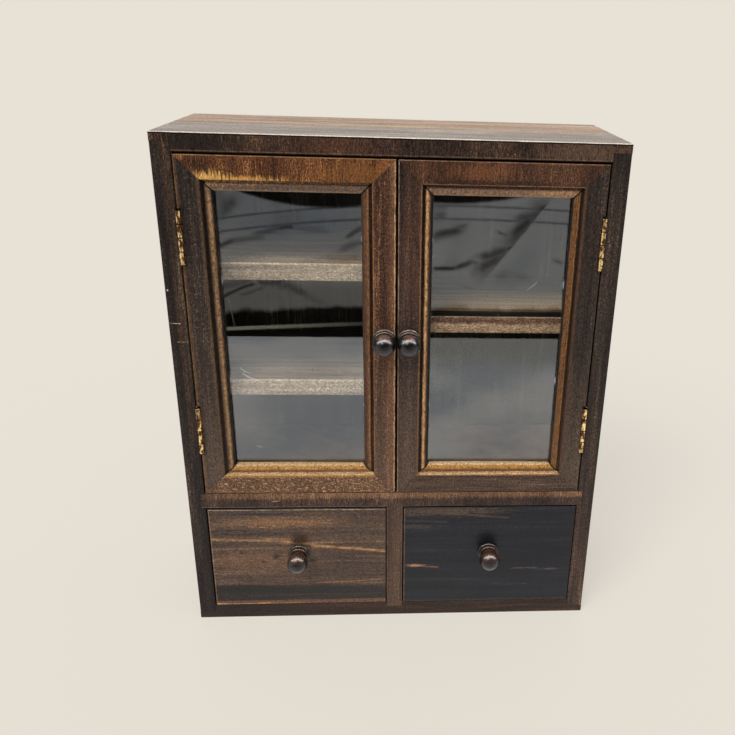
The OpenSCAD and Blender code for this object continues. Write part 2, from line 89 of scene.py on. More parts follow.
def rgb(red, green, blue):
    """A colour written from 0 to 255 as it shows on a screen, as the linear colour of a socket."""
    parts = [channel / 255 for channel in (red, green, blue)]
    return (*[part / 12.92 if part < 0.04045 else ((part + 0.055) / 1.055) ** 2.4 for part in parts], 1.0)


class Wire:
    """A number, colour or vector on its way through the nodes. Arithmetic adds Math nodes."""

    def __init__(self, paint, socket):
        self.paint, self.socket = paint, socket

    def math(self, operation, *others):
        return self.paint.node("ShaderNodeMath", {"operation": operation}, dict(enumerate((self, *others))))

    def __add__(self, other):
        return self.math("ADD", other)

    def __mul__(self, other):
        return self.math("MULTIPLY", other)

    def __sub__(self, other):
        return self.math("SUBTRACT", other)

    def __rsub__(self, other):
        return self.paint.node("ShaderNodeMath", {"operation": "SUBTRACT"}, {0: other, 1: self})

    __radd__, __rmul__ = __add__, __mul__

    def least(self, other):
        """The smaller of the two."""
        return self.math("MINIMUM", other)

    def most(self, other):
        """The larger of the two."""
        return self.math("MAXIMUM", other)

    def size(self):
        """The number without its sign."""
        return self.math("ABSOLUTE")

    def other(self, output):
        """Another output of the node that this one comes from."""
        return Wire(self.paint, self.socket.node.outputs[output])

    def step(self, start, end):
        """Goes smoothly from 0 at start to 1 at end. The start may be the larger of the two."""
        ends = {"To Min": float(start > end), "To Max": float(start < end)}
        limits = {"Value": self, "From Min": min(start, end), "From Max": max(start, end), **ends}
        return self.paint.node("ShaderNodeMapRange", {"interpolation_type": "SMOOTHSTEP"}, limits)


class Paint:
    """The nodes of a paint or finish, or of the sky, added one by one."""

    def __init__(self, owner):
        owner.use_nodes = True
        self.owner, self.tree = owner, owner.node_tree
        self.tree.nodes.clear()

    def node(self, kind, settings, values, output=0):
        """Adds a node, sets it up, fills its sockets with numbers or wires, and gives one output."""
        node = self.tree.nodes.new(kind)
        for name, setting in settings.items():
            if name == "stops":
                ramp = node.color_ramp.elements
                ramp.remove(ramp[1])
                ramp[0].position, ramp[0].color = setting[0]
                for position, colour in setting[1:]:
                    ramp.new(position).color = colour
            else:
                setattr(node, name, setting)
        for name, value in values.items():
            if isinstance(value, Wire):
                self.tree.links.new(value.socket, node.inputs[name])
            else:
                node.inputs[name].default_value = value
        return Wire(self, node.outputs[output]) if node.outputs else None

    def mix(self, share, first, second):
        """The first colour, with a share of the second."""
        return self.node("ShaderNodeMix", {"data_type": "RGBA"}, {0: share, 6: first, 7: second}, 2)

    def blend(self, share, first, second):
        """The first shader, with a share of the second."""
        return self.node("ShaderNodeMixShader", {}, {0: share, 1: first, 2: second})

    def glow(self, colour, strength=1.0):
        return self.node("ShaderNodeEmission", {}, {"Color": colour, "Strength": strength})

    def ray(self, kind):
        """1 for the rays of this kind, such as Is Camera Ray."""
        return self.node("ShaderNodeLightPath", {}, {}, kind)

    def mirrored(self, unseen, seen):
        """A shader that only shows where something mirrors it, and another one elsewhere."""
        return self.blend(self.ray("Glossy Depth").least(1), unseen, seen)

    def show(self, shader):
        kind = "World" if isinstance(self.owner, bpy.types.World) else "Material"
        self.node("ShaderNodeOutput" + kind, {}, {"Surface": shader})
        return self.owner


def new_paint(name):
    return Paint(bpy.data.materials.new(name))


def add_object(name, shape, material):
    """Makes an object of a bmesh, with its material."""
    mesh = bpy.data.meshes.new(name)
    shape.to_mesh(mesh)
    shape.free()
    mesh.materials.append(material)
    thing = bpy.data.objects.new(name, mesh)
    bpy.context.scene.collection.objects.link(thing)
    return thing


FLOOR_COLOUR = rgb(231, 225, 214)
FLOOR_REACH = 30.0
# How far the floor glows in its own colour, which leaves a third of the shadow's depth.
FLOOR_FLATNESS = 0.66
# What the glass and the wax mirror of the floor, which glows there as a painted reflection: pale
# and dim clouds, with painted shade, browner, near the cloth's foot in front on the right, from the
# first distance to the second in metres.
MIRRORED_PALE = (1.46, 1.42, 1.36, 1.0)
MIRRORED_DIM = (0.95, 0.99, 1.02, 1.0)
MIRRORED_SHADE_BROWN = (0.82, 0.8, 0.74, 1.0)
SHADE_ALONG = (-0.5, -0.6)
SHADE_ACROSS = (0, 0.05)
CLOUDS_PER_METRE = 6.0
SKY_LIGHT = 0.62
LAMP_LIGHT = 1.6
LAMP_SPREAD = math.radians(30)
LAMP_TURN = (math.radians(40), 0, math.radians(-35))

floor_shape = bmesh.new()
bmesh.ops.create_grid(floor_shape, x_segments=1, y_segments=1, size=FLOOR_REACH)
paint = new_paint("pale_floor")
shader = paint.node("ShaderNodeBsdfDiffuse", {}, {"Color": FLOOR_COLOUR})
seen = paint.ray("Is Camera Ray").most(paint.ray("Is Transmission Ray"))
shader = paint.blend(seen * FLOOR_FLATNESS, shader, paint.glow(FLOOR_COLOUR))
place = paint.node("ShaderNodeTexCoord", {}, {}, "Object")
across, along = (paint.node("ShaderNodeSeparateXYZ", {}, {0: place}, axis) for axis in "XY")
clouds = {"Vector": place, "Scale": CLOUDS_PER_METRE, "Detail": 2.0}
cloudy = paint.node("ShaderNodeTexNoise", {}, clouds)
mirrored = paint.mix(cloudy.step(0.36, 0.64), MIRRORED_DIM, MIRRORED_PALE)
# Painted shade in the mirrored floor, browner near the foot of the cloth.
reflected_brown = along.step(*SHADE_ALONG) * across.step(*SHADE_ACROSS)
mirrored = paint.mix(reflected_brown, mirrored, MIRRORED_SHADE_BROWN)
shader = paint.mirrored(shader, paint.glow(mirrored))
floor = add_object("floor", floor_shape, paint.show(shader))

paint = Paint(bpy.data.worlds.new("sky"))
sky = paint.node("ShaderNodeBackground", {}, {"Color": (1, 1, 1, 1), "Strength": SKY_LIGHT})
backdrop = paint.node("ShaderNodeBackground", {}, {"Color": FLOOR_COLOUR, "Strength": 1.0})
seen = paint.ray("Is Camera Ray").most(paint.ray("Is Transmission Ray"))
bpy.context.scene.world = paint.show(paint.blend(seen, sky, backdrop))

lamp = bpy.data.objects.new("soft_lamp", bpy.data.lights.new("soft_lamp", "SUN"))
lamp.data.energy = LAMP_LIGHT
lamp.data.angle = LAMP_SPREAD
lamp.rotation_euler = LAMP_TURN
bpy.context.scene.collection.objects.link(lamp)

# ---------------------------------------------------------------------------------------------
# Cloth. A creased cloth hangs in front of the case for the glass and the wax to mirror, with a
# pale cord along its foot on the left. It glows as a painted reflection, with painted shade in its
# folds, shows only where something mirrors it, and shades nothing. Places on it are in
# millimetres across and up.

CLOTH_Y = -0.6
CLOTH_FOOT = 0.02
CLOTH_HEIGHT = 0.688
CLOTH_WIDTH = 1.6
CLOTH_DARK = rgb(66, 63, 61)
CLOTH_BLACK = rgb(22, 21, 19)
GREY_ABOVE, GREY_BELOW = rgb(206, 208, 211), rgb(236, 232, 224)
GREY_RIGHT, GREY_FOOT = rgb(246, 246, 244), rgb(184, 181, 172)
RIM_WHITE = rgb(252, 252, 248)
CORD_CREAM = rgb(236, 228, 200)
PATTERN_LIFT = 3.0
RIPPLE_ACROSS, RIPPLE_UP = 10, 14
# Each fold of painted shade: its two ends, how far it reaches to either side, and how dark it is.
FOLDS = (
    ((-250, 148), (-222, 157), 6, 0.8),
    ((-226, 157), (-182, 162), 8, 0.5),
    ((-196, 166), (-160, 174), 7, 0.6),
    ((-165, 172), (-142, 177), 5, 0.9),
    ((-140, 176), (-100, 170), 7, 0.35),
    ((-72, 164), (-50, 178), 6, 0.7),
    ((-82, 146), (-52, 156), 9, 0.5),
    ((-135, 128), (-92, 137), 8, 0.45),
    ((-100, 134), (-50, 134), 9, 0.6),
    ((-240, 190), (-216, 216), 13, 0.55),
    ((-250, 74), (-200, 96), 4, 0.95),
    ((-250, 92), (-205, 98), 10, 0.5),
    ((-222, 76), (-186, 92), 4, 0.5),
    ((-196, 100), (-160, 97), 7, 0.7),
    ((-170, 98), (-128, 82), 9, 0.55),
    ((-132, 80), (-104, 68), 8, 0.3),
    ((190, 207), (206, 216), 10, 0.95),
    ((158, 191), (202, 206), 13, 0.75),
    ((154, 168), (186, 198), 15, 0.9),
    ((150, 160), (180, 182), 13, 0.75),
    ((147, 149), (158, 153), 5, 0.95),
    ((110, 138), (154, 150), 12, 0.8),
    ((108, 118), (150, 144), 17, 0.8),
    ((136, 176), (152, 170), 4, 0.6),
    ((46, 118), (82, 125), 5, 0.95),
    ((78, 125), (102, 132), 7, 0.85),
    ((98, 131), (114, 126), 6, 0.5),
    ((46, 166), (88, 178), 11, 0.85),
    ((70, 176), (94, 185), 6, 0.6),
    ((46, 192), (64, 197), 11, 0.65),
    ((46, 206), (66, 208), 8, 0.5),
    ((86, 96), (106, 91), 4, 0.35),
)
# The one sharp crease. The cloth is shaded to the left of it and lit along its right.
CREASE = ((124, 110), (204, 216))
CREASE_RIM = ((128, 115), (180, 184))
CREASE_REACH = 30
# The few folds of painted shade past the crease.
FAR_FOLDS = (
    ((138, 108), (152, 116), 11, 0.4),
    ((164, 112), (184, 110), 11, 0.3),
    ((216, 136), (230, 131), 4, 0.55),
)
# Each faint tint: its two ends, its reach, its share and its colour.
TINTS = (
    ((-205, 176), (-80, 186), 26, 0.4, rgb(160, 178, 196)),
    ((-250, 222), (-225, 205), 18, 0.5, rgb(132, 112, 98)),
    ((-104, 130), (-50, 132), 12, 0.55, rgb(134, 110, 88)),
    ((150, 104), (190, 150), 24, 0.35, rgb(166, 182, 200)),
)
# Two seams run across the cloth and dip away from the middle, more on the left.
SEAMS = (210, 192)
SEAM_MIDDLE = 60
SEAM_DIP_LEFT, SEAM_DIP_RIGHT = 0.000258, 0.00013
# It is nearly black above two swags, each with its middle, its lowest point and its bend, and
# black again below the hem, which rises with the cord.
SWAGS = ((-100, 203.5, 0.0015), (70, 212.5, 0.0012))
HEM = 60
CORD_START, CORD_HEIGHT, CORD_SLOPE = -245, 28.5, 0.05


def beside(across, up, start, end):
    """How far a place lies along a line, how far to the left of it, and the line's length."""
    run, rise = end[0] - start[0], end[1] - start[1]
    length = math.hypot(run, rise)
    along = (across - start[0]) * (run / length) + (up - start[1]) * (rise / length)
    aside = (up - start[1]) * (run / length) - (across - start[0]) * (rise / length)
    return along, aside, length


def stroke(across, up, start, end, reach):
    """A soft mark from start to end, 1 along its middle and 0 past its reach to either side."""
    along, aside, length = beside(across, up, start, end)
    ends = along.step(-reach, reach) * along.step(length + reach, length - reach)
    return aside.size().step(reach, 0) * ends


cloth_shape = bmesh.new()
bmesh.ops.create_grid(cloth_shape, x_segments=1, y_segments=1, size=0.5)
bmesh.ops.scale(cloth_shape, vec=(CLOTH_WIDTH, CLOTH_HEIGHT, 1), verts=cloth_shape.verts)
upright = Matrix.Rotation(math.pi / 2, 3, "X")
bmesh.ops.rotate(cloth_shape, cent=(0, 0, 0), matrix=upright, verts=cloth_shape.verts)
bmesh.ops.translate(cloth_shape, vec=(0, CLOTH_Y, CLOTH_FOOT + CLOTH_HEIGHT / 2), verts=cloth_shape.verts)
paint = new_paint("glowing_cloth")
place = paint.node("ShaderNodeTexCoord", {}, {}, "Object")
place = paint.node("ShaderNodeVectorMath", {"operation": "SCALE"}, {0: place, "Scale": 1 / MM})
across = paint.node("ShaderNodeSeparateXYZ", {}, {0: place}, "X")
up = paint.node("ShaderNodeSeparateXYZ", {}, {0: place}, "Z") - PATTERN_LIFT
left = across.step(0, -40)
ripple = paint.node("ShaderNodeTexNoise", {}, {"Vector": place, "Scale": 0.03, "Detail": 2.0}) - 0.5
soft = paint.node("ShaderNodeTexNoise", {}, {"Vector": place, "Scale": 0.014, "Detail": 4.0}) - 0.5

# How dark each place is: the painted shade of the folds and the crease, and the seams.
wavy_across, wavy_up = across + ripple * RIPPLE_ACROSS, up + ripple * RIPPLE_UP
dark = (soft * -3.0).step(0.1, 0.8) * 0.35
for start, end, reach, share in FOLDS:
    dark = dark.most(stroke(wavy_across, wavy_up, start, end, reach) * share)
# The folds end at the crease.
bent = across + ripple * 5
shaded = beside(bent, up, *CREASE)[1].step(-1.4, 1.4)
dark = dark * shaded.most(across.step(106, 98))
dark = dark.most(stroke(bent, up, *CREASE, CREASE_REACH) * shaded * (0.62 + ripple * 1.2))
for start, end, reach, share in FAR_FOLDS:
    dark = dark.most(stroke(across, wavy_up, start, end, reach) * share)
on_left, on_right = (across - SEAM_MIDDLE).least(0), (across - SEAM_MIDDLE).most(0)
hang = on_left * on_left * SEAM_DIP_LEFT + on_right * on_right * SEAM_DIP_RIGHT + up
for seam in SEAMS:
    dark = dark.most((hang - seam).size().step(2.4, 0.6) * 0.6)

# The greys under them, and the tints.
grey = paint.mix(up.step(195, 125), GREY_ABOVE, GREY_BELOW)
grey = paint.mix((1 - left) * 0.6, grey, GREY_RIGHT)
grey = paint.mix(up.step(118, 84) * left, grey, GREY_FOOT)
for start, end, reach, share, tint in TINTS:
    grey = paint.mix(stroke(across, up, start, end, reach) * share, grey, tint)
painted_rim = stroke(bent + 2.5, up - 2.5, *CREASE_RIM, 3) * 0.4
grey = paint.mix(painted_rim, grey, RIM_WHITE)
colour = paint.mix(dark, grey, CLOTH_DARK)

# The black above the swags and below the hem, and the cord.
above = [up - lowest - (across - middle) * (across - middle) * bend for middle, lowest, bend in SWAGS]
shade = paint.mix(soft.step(0, 0.15) * 0.4, CLOTH_BLACK, CLOTH_DARK)
colour = paint.mix(above[0].most(above[1]).step(-2, 3), colour, shade)
rise = (across - CORD_START) * CORD_SLOPE
hem = (up + ripple * 24 - rise.least(9)).step(HEM, HEM - 10)
colour = paint.mix(hem, colour, CLOTH_BLACK)
cord = (up - CORD_HEIGHT - rise).size().step(3.6, 1.6) * left * across.step(40, -240)
colour = paint.mix(cord, colour, CORD_CREAM)

nothing = paint.node("ShaderNodeBsdfTransparent", {}, {})
cloth = add_object("glowing_cloth", cloth_shape, paint.show(paint.mirrored(nothing, paint.glow(colour))))
cloth.visible_camera = cloth.visible_diffuse = cloth.visible_shadow = False

# ---------------------------------------------------------------------------------------------
# Pale board. It lies flat, high above the front of the case, and glows for the knobs and the
# hinges to mirror, as their painted highlights. Nothing else sees it.

PALE_BOARD_SIZE = (5.0, 0.5, 1)
PALE_BOARD_PLACE = (0, -0.33, 1.25)
PALE_BOARD_LIGHT = 16.0

board_shape = bmesh.new()
bmesh.ops.create_grid(board_shape, x_segments=1, y_segments=1, size=0.5)
bmesh.ops.scale(board_shape, vec=PALE_BOARD_SIZE, verts=board_shape.verts)
bmesh.ops.translate(board_shape, vec=PALE_BOARD_PLACE, verts=board_shape.verts)
paint = new_paint("glowing_highlight_board")
nothing = paint.node("ShaderNodeBsdfTransparent", {}, {})
shader = paint.mirrored(nothing, paint.glow((1, 1, 1, 1), PALE_BOARD_LIGHT))
board = add_object("glowing_highlight_board", board_shape, paint.show(shader))
board.visible_camera = board.visible_diffuse = board.visible_shadow = False

# ---------------------------------------------------------------------------------------------
# Case boards. Softwood boards 12 mm thick, charred with a torch, brushed and waxed, so that the
# ground is near black and the raised grain shows brown. Their arrises are eased, and the ends
# that butt against other boards are left almost sharp.

ARRIS = 0.6 * MM
BUTTED_ARRIS = 0.15 * MM
SHORTEST_EASED = 4 * MM
SAME_POINT = 0.001 * MM
SAME_PLANE = 0.01 * MM
FLAT_ANGLE = 0.01
CORNER_ANGLE = 1.0
FACING = 0.99
SHADE_ANGLE = math.radians(32)
BAND_LENGTH = 140
PORE_WIDTH = 0.6
# Tones run from the char in the pores to the rubbed tops of the grain.
NIGHT = (rgb(12, 9, 8), rgb(28, 22, 20), rgb(42, 34, 30), rgb(66, 53, 45), rgb(128, 108, 90))
UMBER = (rgb(15, 10, 8), rgb(36, 26, 21), rgb(56, 41, 33), rgb(84, 61, 46), rgb(152, 118, 88))
PLUM = (rgb(18, 13, 12), rgb(42, 32, 29), rgb(62, 48, 42), rgb(92, 71, 58), rgb(160, 126, 98))
MIDDLE_TAN = (rgb(44, 30, 22), rgb(84, 60, 44), rgb(116, 84, 62), rgb(150, 110, 80), rgb(204, 160, 118))
GREY_AND_SKY_REFLECTION = (rgb(84, 76, 70), rgb(116, 106, 98), rgb(140, 129, 120), rgb(164, 151, 139), rgb(206, 192, 176))
TAN_AND_SKY_REFLECTION = (rgb(104, 82, 66), rgb(134, 108, 88), rgb(158, 129, 106), rgb(182, 153, 128), rgb(214, 192, 166))
RUSSET = rgb(98, 60, 42)
STRAW = rgb(226, 198, 162)
SOOT = rgb(8, 6, 5)
WORN_WHITE_HIGHLIGHT = rgb(250, 236, 216)
SEED_SHIFT = (7.3, 3.1, 5.7)
# The ways in which butted faces look: up and down, or to the sides.
LEVEL = Vector((0, 0, 1))
CROSS = Vector((1, 0, 0))


class Finish(Paint):
    """The finish of a piece whose grain or wear runs along one axis. Places are in millimetres."""

    def __init__(self, name, grain, seed):
        super().__init__(bpy.data.materials.new(name))
        place = self.node("ShaderNodeTexCoord", {}, {}, "Object")
        self.place = self.node("ShaderNodeVectorMath", {"operation": "SCALE"}, {0: place, "Scale": 1 / MM})
        self.at = {axis: self.node("ShaderNodeSeparateXYZ", {}, {0: self.place}, axis) for axis in "XYZ"}
        self.grain, self.seed = grain, seed

    def noise(self, length, width, detail=2.0, roughness=0.5, distortion=0.0, grain=None):
        """Blotches about length mm long with the grain and width mm across it, mostly -0.2 to 0.2."""
        pitch = [1 / width] * 3
        pitch["XYZ".index(grain or self.grain)] = 1 / length
        shift = [self.seed * share for share in SEED_SHIFT]
        settings = {"operation": "MULTIPLY_ADD"}
        where = self.node("ShaderNodeVectorMath", settings, {0: self.place, 1: pitch, 2: shift})
        values = {"Vector": where, "Scale": 1.0, "Detail": detail, "Roughness": roughness}
        return self.node("ShaderNodeTexNoise", {}, {**values, "Distortion": distortion}) - 0.5

    def toned(self, tones, bands=1.6, lines=1.4, specks=0.7, lift=0.0, length=30, broad=8, grain=None):
        """Broad bands, fine lines and specks, in tones from the darkest to the palest."""
        level = self.noise(BAND_LENGTH, broad, 3.0, 0.6, 0.5, grain) * bands + (0.5 + lift)
        level = level + self.noise(length, PORE_WIDTH, 3.0, 0.75, 0.0, grain) * lines
        level = level + self.noise(1.2, 0.8, 2.0, 0.7, 0.0, grain) * specks
        stops = [(rank / (len(tones) - 1), tone) for rank, tone in enumerate(tones)]
        return self.node("ShaderNodeValToRGB", {"stops": stops}, {"Fac": level})

    def edge(self, axis, level, reach, share=1.0):
        """A strip within about reach mm of a level, rubbed unevenly."""
        ragged = self.noise(10, 1.6, 3.0, 0.6) * (reach * 2.5)
        return ((self.at[axis] - level).size() + ragged).step(reach, reach * 0.4) * share

    def mark(self, colour, middle, reach, tint, share, ragged=2.0):
        """Adds a mark to the front around a place, as wide and as high as reach says."""
        pitch = (1 / reach[0], 0, 1 / reach[1])
        shift = (-middle[0] / reach[0], 0, -middle[1] / reach[1])
        settings = {"operation": "MULTIPLY_ADD"}
        off = self.node("ShaderNodeVectorMath", settings, {0: self.place, 1: pitch, 2: shift})
        far = self.node("ShaderNodeVectorMath", {"operation": "LENGTH"}, {0: off}, "Value")
        far = far + self.noise(9, 1.0, 3.0, 0.65) * ragged
        return self.mix(far.step(1.0, 0.3) * share, colour, tint)

    def line(self, colour, start, end, reach, tint, share, wander):
        """Adds a thin streak to the front from start to end."""
        up = self.at["Z"] + self.noise(40, 14, 2.0) * wander
        faint = self.noise(12, 1.5, 3.0, 0.6).step(-0.2, 0.06)
        return self.mix(stroke(self.at["X"], up, start, end, reach) * faint * share, colour, tint)

    def waxed(self, colour, roughness=0.46, depth=0.07, shine=0.15, grit=3.2):
        """The finish: soft wax over grit and brushed grain, depth mm deep."""
        gain = self.noise(1.7, 0.9, 2.0, 0.8) * grit + 1.0
        colour = self.node("ShaderNodeVectorMath", {"operation": "SCALE"}, {0: colour, "Scale": gain})
        lines = self.noise(30, PORE_WIDTH, 3.0, 0.75)
        bump = self.node("ShaderNodeBump", {}, {"Strength": 1.0, "Distance": depth * MM, "Height": lines})
        dull = self.noise(30, 3, 3.0, 0.6) * 0.35 + roughness
        values = {"Base Color": colour, "Roughness": dull, "Normal": bump, "Specular IOR Level": shine}
        return self.show(self.node("ShaderNodeBsdfPrincipled", {}, values))


def corners(node):
    """The least and the greatest corner of a part's box, in millimetres."""
    return [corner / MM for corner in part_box(node)]


def eased(node, name, material, butted=(), arris=ARRIS):
    """A copy of a part with eased arrises, left almost sharp on the faces that look along butted."""
    shape = bmesh.new()
    shape.from_mesh(frame["nodes"][node].data)
    bmesh.ops.remove_doubles(shape, verts=shape.verts, dist=SAME_POINT)
    bmesh.ops.dissolve_limit(shape, angle_limit=FLAT_ANGLE, verts=shape.verts, edges=shape.edges)
    low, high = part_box(node)

    def outer(face):
        """True if the face lies on the part's box."""
        axis = max(range(3), key=lambda i: abs(face.normal[i]))
        end = high if face.normal[axis] > 0 else low
        return abs(face.calc_center_median()[axis] - end[axis]) < SAME_PLANE

    def sharp(edge):
        long_enough = edge.calc_length() > SHORTEST_EASED
        return edge.is_convex and long_enough and edge.calc_face_angle(0) > CORNER_ANGLE

    def joined(edge):
        return any(abs(face.normal.dot(way)) > FACING for face in edge.link_faces for way in butted)

    bevel = {"profile": 0.5, "affect": "EDGES", "material": -1, "clamp_overlap": True}
    free = [e for e in shape.edges if sharp(e) and not joined(e) and all(map(outer, e.link_faces))]
    bmesh.ops.bevel(shape, geom=free, offset=arris, segments=3, **bevel)
    ends = [e for e in shape.edges if sharp(e) and joined(e)]
    bmesh.ops.bevel(shape, geom=ends, offset=BUTTED_ARRIS, segments=1, **bevel)
    for face in shape.faces:
        face.smooth = True
    piece = add_object(name, shape, material)
    piece.data.set_sharp_from_angle(angle=SHADE_ANGLE)
    piece.modifiers.new("flat_faces", "WEIGHTED_NORMAL").keep_sharp = True
    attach(piece, frame["nodes"][node]["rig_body"])
    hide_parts(node)


# Top board. Its front edge is dark with a worn upper arris, which is also a painted highlight, and
# its upper face is pale, grey in front and tan behind, with painted sky reflection in that paleness.
wood = Finish("charred_top_board", "Z", 1)
low, high = corners("top_board")
top = high.z
middle = (low.z + top) / 2
colour = wood.toned(UMBER, 1.0, 1.5, 1.1, 0.0, 6, 20)
colour = wood.mark(colour, (-38, middle), (34, 9), RUSSET, 0.35, 3.0)
colour = wood.mark(colour, (-122, middle), (40, 12), NIGHT[1], 0.7, 2.0)
colour = wood.mark(colour, (120, middle), (40, 9), PLUM[3], 0.75, 3.0)
colour = wood.mix(wood.edge("Z", low.z + 1.1, 0.5, 0.5), colour, rgb(120, 88, 70))
colour = wood.mix(wood.at["Z"].step(low.z + 0.9, low.z + 0.5) * 0.9, colour, SOOT)
# The upper face, pale with painted sky reflection, and the seam and the worn arris between the two,
# with a painted highlight on the arris.
grey = wood.toned(GREY_AND_SKY_REFLECTION, 1.2, 1.4, 0.5, 0.1, 60, 9, "X")
tan = wood.toned(TAN_AND_SKY_REFLECTION, 1.4, 1.5, 0.5, 0.12, 60, 9, "X")
back = wood.at["Y"] + wood.noise(120, 9, 2.0, 0.5, 0.0, "X") * 26
upper = wood.mix(back.step(-6, 2), grey, tan)
upper = wood.mix((back + 8).size().step(1.6, 0.4) * 0.5, upper, STRAW)
hatch = wood.noise(14, 0.8, 2.0, 0.7, 0.0, "X") * 1.5 + 1.02
upper = wood.node("ShaderNodeVectorMath", {"operation": "SCALE"}, {0: upper, "Scale": hatch})
colour = wood.mix(wood.at["Z"].step(top - 1.3, top - 0.9), colour, SOOT)
colour = wood.mix(wood.at["Z"].step(top - 0.5, top - 0.2), colour, upper)
# The worn arris is painted near white, also as a painted highlight.
arris = (wood.at["Z"] - top).size() + (wood.at["Y"] - low.y - 0.9).size() * 0.8
arris = arris + wood.noise(8, 1.2, 3.0, 0.5, 0.0, "X")
colour = wood.mix(arris.step(1.1, 0.5), colour, WORN_WHITE_HIGHLIGHT)
eased("top_board", "top_board_charred", wood.waxed(colour), [CROSS])

# Middle board, between the doors and the drawers, with a tan upper half and a band of painted
# light on its top.
wood = Finish("charred_middle_board", "Z", 3)
low, high = corners("middle_board")
colour = wood.toned(PLUM, 0.8, 1.4, 0.9, -0.02, 6, 20)
tan = wood.toned(MIDDLE_TAN, 0.8, 1.6, 0.9, 0.02, 6, 20)
up = wood.at["Z"] + wood.noise(3, 1.2, 3.0) * 5
fade = wood.at["X"].step(-152, -110)
colour = wood.mix(up.step(low.z + 6.0, low.z + 9.5) * fade * 0.85, colour, tan)
colour = wood.line(colour, (-89.5, 105.3), (-84.6, 105.9), 0.7, rgb(190, 148, 104), 0.9, 0)
rubbed_and_rim_lit = wood.edge("Z", low.z + 0.4, 0.5, 0.6) * wood.at["X"].step(40, -20)
colour = wood.mix(rubbed_and_rim_lit, colour, rgb(140, 114, 98))
# Painted light on the top face, in a band behind its front edge.
back = wood.at["Y"] - low.y
lit = back.step(12, 14) * back.step(60, 20) * wood.at["Z"].step(high.z - 0.4, high.z - 0.1)
colour = wood.mix(lit, colour, rgb(172, 150, 126))
eased("middle_board", "middle_board_charred", wood.waxed(colour), [CROSS])

# Bottom board, darker towards the left.
wood = Finish("charred_bottom_board", "X", 2)
colour = wood.toned(UMBER, 0.8, 0.9, 0.8, -0.06)
colour = wood.mix(wood.at["X"].step(0, -130) * 0.8, colour, NIGHT[2])
eased("bottom_board", "bottom_board_charred", wood.waxed(colour), [CROSS])

# Drawer divider, rubbed along both arrises.
wood = Finish("charred_drawer_divider", "Z", 4)
low, high = corners("drawer_divider")
colour = wood.toned(PLUM, 0.6, 0.5, 0.6, 0.16)
for side in (low.x, high.x):
    colour = wood.mix(wood.edge("X", side, 0.5, 0.35), colour, rgb(150, 116, 88))
eased("drawer_divider", "drawer_divider_charred", wood.waxed(colour), [LEVEL])

# Left side board. In front it has a browner strip beside the door, two scratches and a nick, and
# inside, behind the arris, its cheek in the gap beside the door is painted light tan against the
# shade there.
wood = Finish("charred_left_side_board", "Z", 6)
low, high = corners("left_side_board")
inner = high.x
colour = wood.toned(NIGHT, 1.2, 0.7, 0.9, 0.03, 16, 6)
strip = (wood.at["X"] - (inner - 3.8)).size() + wood.noise(40, 3, 3.0) * 5
strip = strip.step(3.2, 0.4) * wood.at["Z"].step(130, 210) * 0.85
colour = wood.mix(strip, colour, wood.toned(UMBER, 1.0, 1.6, 0.8, 0.12, 26, 5))
scratched = wood.line(colour, (-149.7, 244.4), (-142.5, 244.0), 0.45, STRAW, 1.0, 0)
scratched = wood.line(scratched, (-145.5, 231), (-140, 231), 0.35, STRAW, 0.5, 0)
scratched = wood.mark(scratched, (-148.2, 267.2), (0.8, 0.9), STRAW, 0.8, 1.0)
behind = wood.at["Y"] - low.y
colour = wood.mix(behind.step(3, 1), colour, scratched)
# Painted light on the cheek inside the gap, against its shade.
lit_cheek = wood.at["X"].step(inner - 0.4, inner - 0.1) * behind.step(1.1, 2.1)
colour = wood.mix(lit_cheek * wood.at["Z"].step(118, 200), colour, rgb(160, 120, 84))
eased("left_side_board", "left_side_board_charred", wood.waxed(colour), [LEVEL])

# Right side board, browner towards its foot, and the partition behind the meeting stiles.
wood = Finish("charred_right_side_board", "Z", 5)
colour = wood.toned(NIGHT, 1.2, 0.7, 0.9, 0.03, 16, 6)
colour = wood.mix(wood.at["Z"].step(220, 60) * 0.7, colour, wood.toned(PLUM, 1.0, 1.2, 0.8, 0.04))
eased("right_side_board", "right_side_board_charred", wood.waxed(colour), [LEVEL])

wood = Finish("charred_partition", "Z", 7)
eased("partition", "partition_charred", wood.waxed(wood.toned(NIGHT, lift=-0.1)), [LEVEL])

# ---------------------------------------------------------------------------------------------
# Back panel. Thin plywood, nearly black: a dark stain with painted shade of the dim inside. It lies
# in a rabbet behind the boards and is held by small flat-headed steel nails, which come with the
# small steel below.

PANEL_TONES = (rgb(12, 10, 9), rgb(24, 20, 17), rgb(34, 28, 24), rgb(50, 42, 36), rgb(90, 76, 62))
PANEL_ARRIS = 0.3 * MM

wood = Finish("stained_plywood", "Z", 8)
# Its dark tones are partly painted shade of the inside of the case.
material = wood.waxed(wood.toned(PANEL_TONES), 0.5)
eased("back_panel", "back_panel_stained_and_shaded", material, arris=PANEL_ARRIS)

# ---------------------------------------------------------------------------------------------
# Shelves. The same stock, let into the boards. The two on the left are hardly burnt: their edges
# are pale and show the slanting marks of the saw. The right one is scorched.

TAN = (rgb(84, 66, 54), rgb(126, 104, 88), rgb(158, 134, 114), rgb(188, 164, 142), rgb(228, 208, 184))
DUSK = (rgb(24, 20, 18), rgb(44, 38, 34), rgb(62, 54, 48), rgb(84, 74, 64), rgb(128, 114, 98))
RUSTY = (rgb(40, 28, 23), rgb(84, 60, 50), rgb(114, 84, 70), rgb(150, 114, 94), rgb(206, 168, 138))
SCORCHED = (rgb(92, 68, 52), rgb(148, 116, 92), rgb(180, 146, 118), rgb(206, 174, 144), rgb(232, 208, 180))
GOLDEN = (rgb(104, 76, 50), rgb(148, 112, 78), rgb(180, 140, 100), rgb(204, 168, 126), rgb(232, 204, 164))
CHIP_WHITE = rgb(232, 232, 230)
CHIP_SIZE = (2.0, 0.9)
